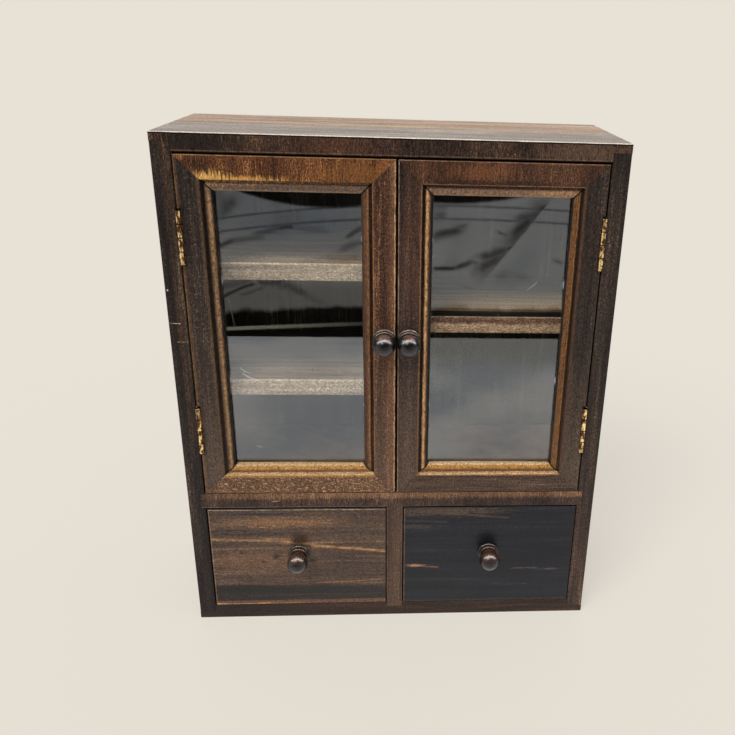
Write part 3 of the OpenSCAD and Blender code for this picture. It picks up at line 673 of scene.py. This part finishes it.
# The middles of the white chips in each pale edge.
CHIPS = {
    "left_upper_shelf": (),
    "left_lower_shelf": ((-108, 198.5), (-103, 197.5), (-98, 197), (-82, 196.5)),
}
SAW_SLANT = 0.7
SHELF_ARRIS = 0.4 * MM

# The two pale shelves, lit on top towards the front and dim towards the back.
for node, seed, lift in (("left_upper_shelf", 9, -0.05), ("left_lower_shelf", 10, 0.16)):
    wood = Finish("pale_" + node, "X", seed)
    low, high = corners(node)
    slant = {"Vector": wood.place, "Rotation": (0, SAW_SLANT, 0), "Scale": (1.1, 1.0, 0.16)}
    hatch = wood.node("ShaderNodeMapping", {}, slant)
    hatch = wood.node("ShaderNodeTexNoise", {}, {"Vector": hatch, "Scale": 1.0, "Detail": 3.0}) - 0.5
    colour = wood.toned(TAN, 1.4, 0.7, 1.1, lift + 0.08, 30, 5)
    colour = wood.mix(hatch.step(0.0, 0.16) * 0.45, colour, TAN[1])
    back = wood.at["Y"] - low.y
    lit = wood.toned(TAN, 1.2, 0.8, 0.4, 0.04, 60, 6)
    shaded = wood.toned(DUSK, 1.6, 0.8, 0.4, 0.0, 60, 10)
    upper = wood.mix((back + wood.noise(90, 5, 2.0) * 30).step(46, 10), shaded, lit)
    colour = wood.mix(back.step(0.5, 1.2), colour, upper)
    arris = (wood.at["Z"] - high.z).size() + back + wood.noise(8, 1.2, 3.0) * 1.2
    colour = wood.mix(arris.step(1.3, 0.6) * 0.9, colour, STRAW)
    for chip in CHIPS[node]:
        chipped = wood.mark(colour, chip, CHIP_SIZE, CHIP_WHITE, 0.8, 4.0)
        colour = wood.mix(back.step(0.5, 0.3), colour, chipped)
    eased(node, node + "_board", wood.waxed(colour, 0.5), [CROSS], arris=SHELF_ARRIS)

# The right shelf. Its edge is brown above and paler below, and its top is dark but for a band of
# painted light falling through the glass, and dims into painted shade behind it.
wood = Finish("scorched_right_shelf", "X", 11)
low, high = corners("right_shelf")
up = wood.at["Z"] + wood.noise(10, 1.5, 3.0) * 5
burnt = wood.toned(RUSTY, 1.0, 0.8, 1.2, 0.1)
pale = wood.toned(SCORCHED, 1.0, 0.8, 1.6, 0.0, 20, 6)
colour = wood.mix(up.step(low.z + 7.6, low.z + 6.2), burnt, pale)
back = wood.at["Y"] - low.y
# The band of painted light on the top; the rest of the top is dark.
lit = (back + wood.noise(90, 3, 2.0) * 16).step(9, 22) * (back + wood.noise(90, 5, 2.0) * 30).step(75, 30)
upper = wood.mix(lit, wood.toned(DUSK, lift=-0.2), wood.toned(GOLDEN, 1.2, 0.8, 0.4, 0.1, 60, 6))
colour = wood.mix(back.step(0.5, 1.2), colour, upper)
arris = (wood.at["Z"] - high.z).size() + back + wood.noise(8, 1.2, 3.0) * 2.5
colour = wood.mix(arris.step(0.9, 0.4) * 0.5, colour, STRAW)
eased("right_shelf", "right_shelf_board", wood.waxed(colour, 0.5), [CROSS], arris=SHELF_ARRIS)

# ---------------------------------------------------------------------------------------------
# Door frames. Moulded strips of the same charred wood, mitred and glued at the corners. From the
# outside in, each strip has a flat, a sunk quirk and a round bead along the glass, and the char is
# rubbed off the arrises and the bead.

STRIP_WIDTH = 22.5
QUIRK = 14.6
AMBER = (rgb(28, 16, 11), rgb(58, 34, 22), rgb(86, 52, 31), rgb(120, 76, 43), rgb(190, 138, 86))
RUST = (rgb(20, 12, 9), rgb(46, 30, 23), rgb(70, 46, 34), rgb(102, 68, 48), rgb(168, 122, 86))
ROUGH = (rgb(34, 24, 19), rgb(66, 48, 38), rgb(92, 68, 52), rgb(128, 96, 70), rgb(200, 156, 112))
PALER_BELOW = rgb(112, 92, 78)
BARE = rgb(90, 66, 48)
GOLD = rgb(206, 150, 80)
WARM_RIM = rgb(150, 112, 80)
WARM_LINE = rgb(178, 128, 82)
MITRES = [Vector((1, 0, 1)).normalized(), Vector((1, 0, -1)).normalized()]


def moulded(node, side, seed, base, zones, marks=(), dashes=None):
    """One strip of a door frame. The base is what toned() takes, and a mark what mark() takes.

    A zone is how far in it lies, its colour and how far it covers. The colour of a zone that
    covers nothing only blends into its neighbours. Dashes are the colour of short pale cuts.
    """
    upright = side in ("left", "right")
    low, high = corners(node)
    wood = Finish("charred_" + node, "Z", seed)
    x, z = wood.at["X"], wood.at["Z"]
    # How far a place lies in from the strip's outer edge, and how far from its nearer end.
    inward = {"left": x - low.x, "right": high.x - x, "foot": z - low.z, "head": high.z - z}[side]
    ends = (z - low.z).least(high.z - z) if upright else (x - low.x).least(high.x - x)
    colour = wood.toned(*base)
    # The uprights are paler towards their foot.
    if upright:
        colour = wood.mix(z.step(250, 120) * 0.42, colour, PALER_BELOW)
    if dashes:
        cuts = wood.noise(3.2, 1.0, 2.0, 0.6, 0.0, "X").step(0.05, 0.15)
        colour = wood.mix(cuts * 0.85, colour, dashes)
    for mark in marks:
        colour = wood.mark(colour, *mark)
    # The zones, rubbed away in patches.
    ragged = inward + wood.noise(7, 1.5, 3.0, 0.65, 0.0, "Z" if upright else "X") * 1.6
    stops = [(reach / STRIP_WIDTH, (*tint[:3], cover)) for reach, tint, cover in zones]
    tint = wood.node("ShaderNodeValToRGB", {"stops": stops}, {"Fac": ragged * (1 / STRIP_WIDTH)})
    cover = tint.other("Alpha")
    patchy = wood.noise(1.5, 1.0, 2.0, 0.7) * 3.2 + wood.noise(40, 1.0, 3.0) * 1.8 + 0.9
    colour = wood.mix(cover * patchy.least(1.0).most(0.0), colour, tint)
    # The line of the mitre, faint on the flat, and dark and wide over the bead.
    depth = inward.step(QUIRK, QUIRK + 1) * 0.7 + 0.35
    mitre = ((ends - inward).size() * (1.35 - depth)).step(0.3, 0.1)
    colour = wood.mix(mitre * depth, colour, SOOT)
    eased(node, node + "_moulded", wood.waxed(colour, depth=0.1), MITRES)


moulded("left_door_hinge_stile", "left", 20, base=(NIGHT, 1.2, 0.8, 1.1, 0.02, 24, 5), zones=(
    (0, rgb(128, 94, 62), 0.8), (1.0, rgb(110, 80, 54), 0.6), (3.0, BARE, 0), (12.6, BARE, 0),
    (13.8, rgb(90, 70, 52), 0.8), (15.2, rgb(84, 64, 48), 0.8), (15.6, rgb(30, 22, 18), 0.8),
    (16.9, SOOT, 0.8), (17.3, rgb(76, 56, 41), 0.9), (18.6, rgb(112, 86, 62), 0.85),
    (20.2, rgb(166, 130, 92), 0.9), (21.2, rgb(120, 84, 50), 0.85), (21.7, SOOT, 0.9)))
moulded("left_door_meeting_stile", "right", 21, base=(RUST, 1.2, 1.2, 1.6, 0.04, 20, 5), zones=(
    (0, SOOT, 1), (0.4, SOOT, 1), (0.6, rgb(206, 164, 122), 0.9), (1.1, rgb(190, 144, 102), 0.8),
    (1.6, rgb(144, 102, 74), 0.5), (4.0, rgb(140, 98, 72), 0.3), (7.0, BARE, 0), (14.3, BARE, 0),
    (14.9, rgb(160, 116, 76), 0.6), (15.3, rgb(160, 116, 76), 0.6), (15.5, SOOT, 0.9), (17.0, SOOT, 0.9),
    (17.5, rgb(104, 72, 50), 0.9), (18.3, rgb(160, 112, 72), 0.85), (19.2, rgb(108, 74, 52), 0.85),
    (21.6, rgb(66, 45, 34), 0.9)))
moulded("left_door_bottom_rail", "foot", 22, base=(ROUGH, 0.6, 0.9, 1.6, 0.06, 3, 20), zones=(
    (0, WARM_LINE, 0.4), (0.6, BARE, 0), (12.8, GOLD, 0), (13.9, rgb(156, 110, 62), 0.9),
    (14.7, rgb(186, 136, 74), 1), (15.1, rgb(196, 150, 94), 1), (15.35, STRAW, 1), (15.5, STRAW, 1),
    (15.7, rgb(170, 130, 90), 1), (16.9, rgb(142, 102, 64), 1), (18.6, rgb(150, 106, 58), 1),
    (19.4, rgb(174, 130, 76), 1), (21.5, rgb(186, 136, 74), 1), (22.1, rgb(210, 176, 130), 1)),
    marks=(((-74.7, 126.3), (1.2, 0.8), SOOT, 1.0, 1.0),), dashes=rgb(176, 136, 102))
# Its quirk is painted grey-brown rather than soot, as painted light against the quirk's shade.
moulded("left_door_top_rail", "head", 23, base=(AMBER, 1.0, 1.5, 1.5, 0.0, 7, 18), zones=(
    (0, rgb(190, 146, 96), 0.7), (0.35, rgb(160, 118, 72), 0.4), (0.7, BARE, 0), (15.0, BARE, 0),
    (15.3, rgb(78, 62, 54), 0.95), (17.0, rgb(88, 72, 63), 0.95), (20.5, rgb(98, 82, 72), 0.95),
    (21.8, rgb(150, 128, 108), 0.95)),
    marks=(((-116, 340), (13, 6), rgb(214, 166, 92), 0.95, 3.0),
           ((-92, 339), (34, 4.0), rgb(206, 154, 84), 0.85, 3.0),
           ((-50, 338), (40, 1.8), rgb(186, 130, 68), 0.7, 3.0),
           ((-14, 346), (44, 16), rgb(160, 104, 54), 0.35, 4.0),
           ((-128, 349), (16, 7), AMBER[0], 0.6, 2.0)))

moulded("right_door_meeting_stile", "left", 31, base=(PLUM, 1.2, 1.0, 1.4, -0.12, 22, 6), zones=(
    (0, rgb(178, 150, 124), 0.85), (0.5, rgb(150, 122, 98), 0.5), (0.9, BARE, 0), (14.0, BARE, 0),
    (14.6, rgb(150, 106, 72), 0.75), (15.3, rgb(150, 106, 72), 0.75), (15.5, SOOT, 0.9), (17.1, SOOT, 0.9),
    (17.5, rgb(126, 84, 50), 0.9), (18.4, rgb(216, 172, 122), 0.9), (19.5, rgb(164, 120, 78), 0.85),
    (20.2, rgb(84, 54, 34), 0.95), (21.2, SOOT, 0.9)),
    marks=(((12, 300), (14, 70), rgb(84, 52, 36), 0.4, 1.0), ((23.2, 326), (1.4, 4), SOOT, 1.0, 1.0)))
moulded("right_door_hinge_stile", "right", 30, base=(NIGHT, 0.9, 0.8, 0.9, 0.04, 24, 5), zones=(
    (0, BARE, 0), (13.0, BARE, 0), (14.2, rgb(80, 56, 44), 0.8), (15.3, rgb(92, 64, 48), 0.8),
    (15.6, rgb(36, 24, 18), 0.8), (16.9, rgb(30, 20, 16), 0.8), (17.3, rgb(112, 74, 42), 0.9),
    (18.0, rgb(166, 116, 66), 0.9), (18.7, rgb(120, 80, 44), 0.9), (21.4, rgb(116, 76, 42), 0.85),
    (22.0, SOOT, 0.8)))
moulded("right_door_bottom_rail", "foot", 32, base=(PLUM, 0.7, 0.9, 0.8, 0.1, 26, 5, "X"), zones=(
    (0, WARM_LINE, 0.4), (0.6, BARE, 0), (13.8, GOLD, 0), (14.3, rgb(140, 98, 56), 0.9),
    (14.8, rgb(170, 122, 70), 1), (15.1, rgb(204, 162, 116), 1), (15.35, STRAW, 1), (15.5, STRAW, 1),
    (15.7, rgb(150, 110, 72), 1), (18.4, rgb(134, 94, 54), 1), (19.4, rgb(166, 119, 58), 1),
    (20.6, rgb(184, 134, 68), 1), (21.5, rgb(186, 132, 62), 1), (22.1, rgb(222, 188, 146), 1)))
# Its quirk is painted grey-brown rather than soot, as painted light against the quirk's shade.
moulded("right_door_top_rail", "head", 33, base=(RUST, 0.9, 0.9, 1.3, 0.0, 5, 18), zones=(
    (0, rgb(150, 112, 86), 0.6), (0.35, WARM_RIM, 0.4), (0.7, BARE, 0), (14.3, BARE, 0),
    (14.7, rgb(158, 120, 92), 0.7), (15.3, rgb(150, 114, 88), 0.7), (15.4, rgb(60, 42, 32), 0.9),
    (16.8, rgb(74, 54, 42), 0.9), (17.2, rgb(112, 88, 72), 0.9), (20.5, rgb(134, 106, 84), 0.9),
    (21.8, rgb(172, 140, 112), 0.9)),
    marks=(((52, 348), (34, 7), rgb(136, 86, 50), 0.35, 3.5),
           ((70, 341.0), (60, 2.6), rgb(40, 26, 20), 0.6, 2.5),
           ((104, 335.5), (26, 3.2), rgb(196, 148, 96), 0.8, 2.0)))

# ---------------------------------------------------------------------------------------------
# Glass. One sheet of 2 mm window glass in each door, with ground edges, dust and fine scratches,
# held in its rebate by small dabs of clear glue.

# Each scratch: its two ends, across and up in millimetres, and how clearly it shows.
SCRATCHES = {
    "left_door": (((-111.4, 262), (-110.2, 252), 0.08), ((-110.2, 252), (-108.6, 240), 0.08),
                  ((-107, 209.5), (-103.5, 206), 0.5), ((-104.5, 206.5), (-99, 205), 0.4),
                  ((-106, 205), (-101, 202.5), 0.45), ((-103, 202.6), (-97.5, 200.8), 0.5),
                  ((-104.5, 200.2), (-101, 197.6), 0.4), ((-99.5, 147.8), (-95.6, 147.2), 0.35)),
    "right_door": (((89, 267.5), (96, 274), 0.22), ((64, 330), (63, 300), 0.05),
                   ((24, 290), (27, 292), 0.3)),
}

GLASS_TINT = (0.95, 0.97, 0.96, 1)
GLASS_SHADE = (0.86, 0.88, 0.87, 1)
GLASS_INDEX = 1.7
SCRATCH_REACH = 0.3
SPECK_SPACING = 9
SPECK_COLOUR = rgb(225, 228, 230)
PANE_ARRIS = 0.3 * MM

for door, scratches in SCRATCHES.items():
    pane = Finish(door + "_window_glass", "Z", 44)
    look = {"Base Color": GLASS_TINT, "Roughness": 0.0, "IOR": GLASS_INDEX, "Transmission Weight": 1.0}
    clear = pane.node("ShaderNodeBsdfPrincipled", {}, look)
    # To the rays of light the pane is only a faint shade.
    unlit = pane.node("ShaderNodeBsdfTransparent", {}, {"Color": GLASS_SHADE})
    light_ray = pane.ray("Is Shadow Ray").most(pane.ray("Is Diffuse Ray"))
    clear = pane.blend(light_ray, clear, unlit)
    # Specks of dust on about a third of the points of an even spread.
    speck = {"Vector": pane.place, "Scale": 1 / SPECK_SPACING}
    dust = pane.node("ShaderNodeTexVoronoi", {}, speck, "Distance").step(0.04, 0.015)
    few = pane.node("ShaderNodeTexVoronoi", {}, speck, "Color")
    few = pane.node("ShaderNodeSeparateColor", {}, {0: few}).step(0.55, 0.75)
    haze = dust * few * 0.8
    for start, end, share in scratches:
        haze = haze.most(stroke(pane.at["X"], pane.at["Z"], start, end, SCRATCH_REACH) * share)
    dirt = pane.node("ShaderNodeBsdfDiffuse", {}, {"Color": SPECK_COLOUR})
    glass = pane.show(pane.blend(haze, clear, dirt))
    eased(door + "_glass", door + "_pane", glass, arris=PANE_ARRIS)


def dress(words, material):
    """Gives a material to the case parts whose names hold any of the words."""
    for node, part in frame["nodes"].items():
        if any(word in node for word in words):
            part.data.materials.clear()
            part.data.materials.append(material)


paint = new_paint("clear_glue")
look = {"Base Color": rgb(214, 220, 226), "Roughness": 0.25, "Transmission Weight": 0.3}
dress(["_dabs"], paint.show(paint.node("ShaderNodeBsdfPrincipled", {}, look)))

# ---------------------------------------------------------------------------------------------
# Hinges. Small pressed brass butts of four knuckles on a pin, tarnished brown in the joints and
# rubbed bright again on the knuckles, held by countersunk brass screws.

KNUCKLES = 4
KNUCKLE_DEPTH = 3.2
TARNISH, BRASS = rgb(88, 55, 35), rgb(244, 206, 142)

brass = Finish("worn_brass", "Z", 40)
low, high = corners("left_lower_frame_leaf")
# The upper hinges repeat the joints of the lower ones.
lift = corners("left_upper_frame_leaf")[0].z - low.z
along = brass.at["Z"] - low.z - brass.at["Z"].step(high.z + 20, high.z + 40) * lift
knuckle = (high.z - low.z) / KNUCKLES
joint = along.math("PINGPONG", knuckle / 2) + brass.noise(1.5, 1.0, 2.0) * 0.5
joint = joint.step(0.55, 0.2) * brass.at["Y"].step(low.y + KNUCKLE_DEPTH + 0.2, low.y + KNUCKLE_DEPTH)
wear_and_reflection = brass.noise(4, 2.0, 4.0, 0.65).step(-0.05, 0.07)
colour = brass.mix(wear_and_reflection, TARNISH, BRASS)
colour = brass.mix(joint, colour, SOOT)
look = {"Base Color": colour, "Metallic": 1.0, "Roughness": 0.5 - wear_and_reflection * 0.2}
dress(["_leaf", "_pins"], brass.show(brass.node("ShaderNodeBsdfPrincipled", {}, look)))

# ---------------------------------------------------------------------------------------------
# Knobs. Turned beech balls on a ringed neck and a thin foot, lacquered near black, with a painted
# reflection of the brown frame on top of the ball, a painted reflection of the pale floor on its
# lower half, and rubbed rings with a painted rim highlight.

NECK = 4.0
LACQUER_BLACK, LACQUER_BROWN = rgb(10, 9, 9), rgb(32, 23, 19)
FLOOR_REFLECTION_GREY, NECK_BLACK = rgb(66, 66, 68), rgb(14, 12, 11)
RUBBED_RING_HIGHLIGHT = rgb(170, 140, 112)
# How far up the ball the painted reflection of the brown frame starts, its colour, and how strongly
# the rings are rubbed and lit by a painted rim highlight.
KNOB_REFLECTIONS = {"door": (0.66, rgb(150, 108, 84), 0.4), "drawer": (0.3, rgb(88, 55, 37), 0.2)}

for front, (start, reflected_brown, rubbed_and_rim_lit) in KNOB_REFLECTIONS.items():
    for node in ("left_" + front + "_knob", "right_" + front + "_knob"):
        lacquer = Finish(node + "_lacquer", "Y", 41)
        low, high = corners(node)
        # From -1 at the bottom of the ball to 1 on top of it.
        up = (lacquer.at["Z"] - (low.z + high.z) / 2) * (2 / (high.z - low.z))
        colour = lacquer.mix(lacquer.noise(9, 2, 3.0).step(-0.1, 0.2), LACQUER_BLACK, LACQUER_BROWN)
        # Painted reflection of the pale floor on the lower half of the ball.
        colour = lacquer.mix(up.step(-0.05, -0.6) * 0.5, colour, FLOOR_REFLECTION_GREY)
        # Painted reflection of the brown frame on top of the ball.
        wear_and_reflection = (up + lacquer.noise(3, 1.5, 3.0) * 0.8).step(start, start + 0.3)
        colour = lacquer.mix(wear_and_reflection * 0.6, colour, reflected_brown)
        neck = lacquer.at["Y"].step(high.y - NECK - 0.6, high.y - NECK)
        rings = (up + lacquer.noise(3, 1, 3.0)).step(0.2, 0.6) * lacquer.noise(2, 0.7, 2.0).step(-0.1, 0.1)
        colour = lacquer.mix(neck, colour, NECK_BLACK)
        # The rings are rubbed, with a painted rim highlight.
        colour = lacquer.mix(neck * rings * rubbed_and_rim_lit, colour, RUBBED_RING_HIGHLIGHT)
        look = {"Base Color": colour, "Roughness": 0.28, "Specular IOR Level": 0.3}
        look |= {"Coat Weight": 0.25, "Coat Roughness": 0.12}
        dress([node], lacquer.show(lacquer.node("ShaderNodeBsdfPrincipled", {}, look)))

# ---------------------------------------------------------------------------------------------
# Small steel. The knobs' screws, the nails of the back panel, and the catch: two magnets let into
# the partition and a steel disc let into each door.

DULL_STEEL, BRIGHT_STEEL = rgb(120, 118, 114), rgb(170, 168, 164)

steel = Finish("fastener_steel", "Z", 42)
colour = steel.mix(steel.noise(2, 1, 3.0).step(-0.1, 0.2), DULL_STEEL, BRIGHT_STEEL)
look = {"Base Color": colour, "Metallic": 1.0, "Roughness": 0.4}
look = steel.show(steel.node("ShaderNodeBsdfPrincipled", {}, look))
dress(["knob_screw", "nails", "strike", "magnets"], look)

# ---------------------------------------------------------------------------------------------
# Drawers. A charred front on a plain box of thin boards with a plywood floor. The left front is
# walnut brown with small knots and pale streaks, and the right one is burnt blue-black but for a
# few worn spots.

WALNUT = (rgb(26, 20, 17), rgb(54, 42, 35), rgb(78, 60, 49), rgb(102, 79, 63), rgb(166, 128, 96))
KNOTS = (((-89.1, 56.3), (4.0, 3.0)), ((-62.4, 52.6), (3.4, 2.6)),
         ((-115, 60.5), (1.4, 2.2)), ((-99, 52), (2.2, 1.4)))
COAL = (rgb(5, 5, 9), rgb(10, 10, 16), rgb(17, 17, 25), rgb(27, 27, 33), rgb(58, 52, 50))
BOX_TONES = (rgb(96, 78, 60), rgb(136, 112, 86), rgb(166, 138, 106), rgb(190, 162, 128), rgb(220, 196, 164))
FRONT_ARRIS = 0.5 * MM
BOX_ARRIS = 0.4 * MM
# Each patch or spot: its middle, its reach across and up, colour, share and raggedness. Each
# streak: its two ends, its reach, colour, share and how far it wanders.
LEFT_PATCHES = (
    ((-28, 78), (46, 16), rgb(70, 56, 46), 0.6, 1.8),
    ((-100, 52), (60, 16), rgb(130, 95, 68), 0.4, 1.8),
    ((-85, 87), (60, 4.5), rgb(140, 100, 68), 0.7, 2.0),
)
LEFT_STREAKS = (
    ((-137, 72.6), (-78, 69.8), 1.8, rgb(186, 138, 92), 0.6, 2),
    ((-100, 72.8), (-78, 72.2), 1.2, rgb(180, 134, 92), 0.5, 2),
    ((-80, 69.8), (-50, 65.0), 1.6, rgb(186, 138, 92), 0.4, 2),
    ((-62, 66.0), (-7, 60.6), 2.0, rgb(194, 144, 94), 0.75, 2),
    ((-60, 31.6), (-7, 34.4), 1.0, rgb(150, 108, 78), 0.7, 1),
)
RIGHT_SPOTS_AND_KNOB_REFLECTION = (
    ((36, 96), (62, 6.0), rgb(88, 68, 54), 0.7, 2.5),
    ((16, 82), (22, 2.6), rgb(78, 64, 54), 0.5, 3.0),
    ((16, 46.6), (9, 1.5), rgb(178, 122, 88), 1.0, 1.6),
    # A painted dark reflection of the knob, above it.
    ((72, 71.5), (9, 8), SOOT, 0.6, 0.6),
    ((104, 43), (14, 1.2), rgb(112, 94, 82), 0.45, 4.0),
    ((122, 41.6), (10, 0.9), rgb(104, 88, 78), 0.5, 5.0),
)
RIGHT_STREAKS = (
    ((6, 88), (40, 86), 1.6, rgb(70, 60, 52), 0.5, 4),
    ((40, 94), (86, 90), 1.5, rgb(96, 74, 58), 0.6, 4),
    ((18, 46), (34, 44.8), 1.0, rgb(170, 112, 78), 0.5, 0),
    ((76, 28), (104, 27.4), 1.0, rgb(84, 84, 90), 0.25, 4),
)


def faced(wood, colour, low):
    """Keeps a colour to the face of a drawer's front. The rest of the front is charred evenly and dark,
    which also paints shade on its top in the gap above it.
    """
    rest = wood.toned(NIGHT, 1.2, 0.8, 0.8, -0.16, 50, 6)
    return wood.mix((wood.at["Y"] - low.y).step(0.3, 0.6), colour, rest)


# Left front, with a charred band low down, a painted dark reflection of the knob above it, rubbed
# edges, and painted shade on its top and left edges in the gaps.
wood = Finish("charred_left_drawer_front", "X", 50)
low, high = corners("left_drawer_front")
colour = wood.toned(WALNUT, 1.5, 0.9, 0.9, 0.07, 50, 5)
for patch in LEFT_PATCHES:
    colour = wood.mark(colour, *patch)
for streak in LEFT_STREAKS:
    colour = wood.line(colour, *streak)
level = wood.at["Z"] + wood.noise(60, 8, 2.0) * 3
dark = wood.toned(DUSK, 1.2, 0.5, 0.5, -0.52, 60, 5)
colour = wood.mix(level.step(13.6, 15.4) * level.step(33, 29) * 0.9, colour, dark)
for knot, size in KNOTS:
    colour = wood.mark(colour, knot, size, rgb(30, 25, 23), 0.9, 3.2)
# A painted dark reflection of the knob, above it.
colour = wood.mark(colour, (-71.6, 71), (9, 8), rgb(50, 31, 18), 0.8, 0.6)
colour = wood.line(colour, (-62, 52), (-55, 54.2), 0.7, rgb(24, 18, 16), 0.9, 0)
colour = wood.mix(level.step(16.4, 15.2) * 0.8, colour, rgb(106, 73, 57))
rubbed_and_rim_lit = wood.edge("Z", low.z + 0.5, 0.9, 0.7) * wood.at["X"].step(-50, -120)
colour = wood.mix(rubbed_and_rim_lit, colour, rgb(206, 152, 96))
colour = wood.mark(colour, (-137, 12.8), (6, 1.2), rgb(220, 164, 96), 0.9, 1.0)
colour = wood.mix(wood.edge("Z", high.z - 1.0, 0.5, 0.35), colour, STRAW)
colour = wood.mix(wood.edge("X", low.x + 0.8, 0.5, 0.4), colour, rgb(170, 128, 92))
# Painted shade on the top and left edges, in the gaps around the front.
painted_rim = (wood.at["Z"] - (high.z - 0.5)).most(low.x + 0.4 - wood.at["X"])
colour = wood.mix(painted_rim.step(-0.1, 0.1), colour, SOOT)
material = wood.waxed(faced(wood, colour, low), 0.4, 0.04, 0.25)
eased("left_drawer_front", "left_drawer_front_charred", material, arris=FRONT_ARRIS)

# Right front, with browner wood along its top, a worn spot on the left, a painted dark reflection
# of the knob above it, rubbed edges, and painted shade on its top edge in the gap.
wood = Finish("charred_right_drawer_front", "X", 60)
low, high = corners("right_drawer_front")
colour = wood.toned(COAL, 1.8, 0.5, 0.9, -0.06, 50, 7)
for spot in RIGHT_SPOTS_AND_KNOB_REFLECTION:
    colour = wood.mark(colour, *spot)
for streak in RIGHT_STREAKS:
    colour = wood.line(colour, *streak)
colour = wood.mix(wood.edge("Z", low.z, 2.0, 0.6), colour, rgb(62, 50, 42))
colour = wood.mark(colour, (7.9, 10.2), (1.6, 0.9), STRAW, 0.9, 1.0)
colour = wood.mix(wood.edge("X", low.x + 0.7, 0.5, 0.3), colour, rgb(150, 120, 92))
# Painted shade on the top edge, in the gap above the front.
colour = wood.mix(wood.at["Z"].step(high.z - 0.6, high.z - 0.4), colour, SOOT)
material = wood.waxed(faced(wood, colour, low), 0.33, 0.03, 0.25)
eased("right_drawer_front", "right_drawer_front_charred", material, arris=FRONT_ARRIS)

# The boxes behind the fronts, of bare softwood.
for drawer, seed in (("left_drawer", 70), ("right_drawer", 80)):
    for part, grain in (("left_side", "Y"), ("right_side", "Y"), ("back", "X"), ("floor", "X")):
        wood = Finish(drawer + "_bare_" + part, grain, seed)
        material = wood.waxed(wood.toned(BOX_TONES, 1.6, 1.0, 0.4, 0.0, 60, 10), 0.6, 0.03)
        eased(drawer + "_" + part, drawer + "_" + part + "_board", material, arris=BOX_ARRIS)
        seed += 1
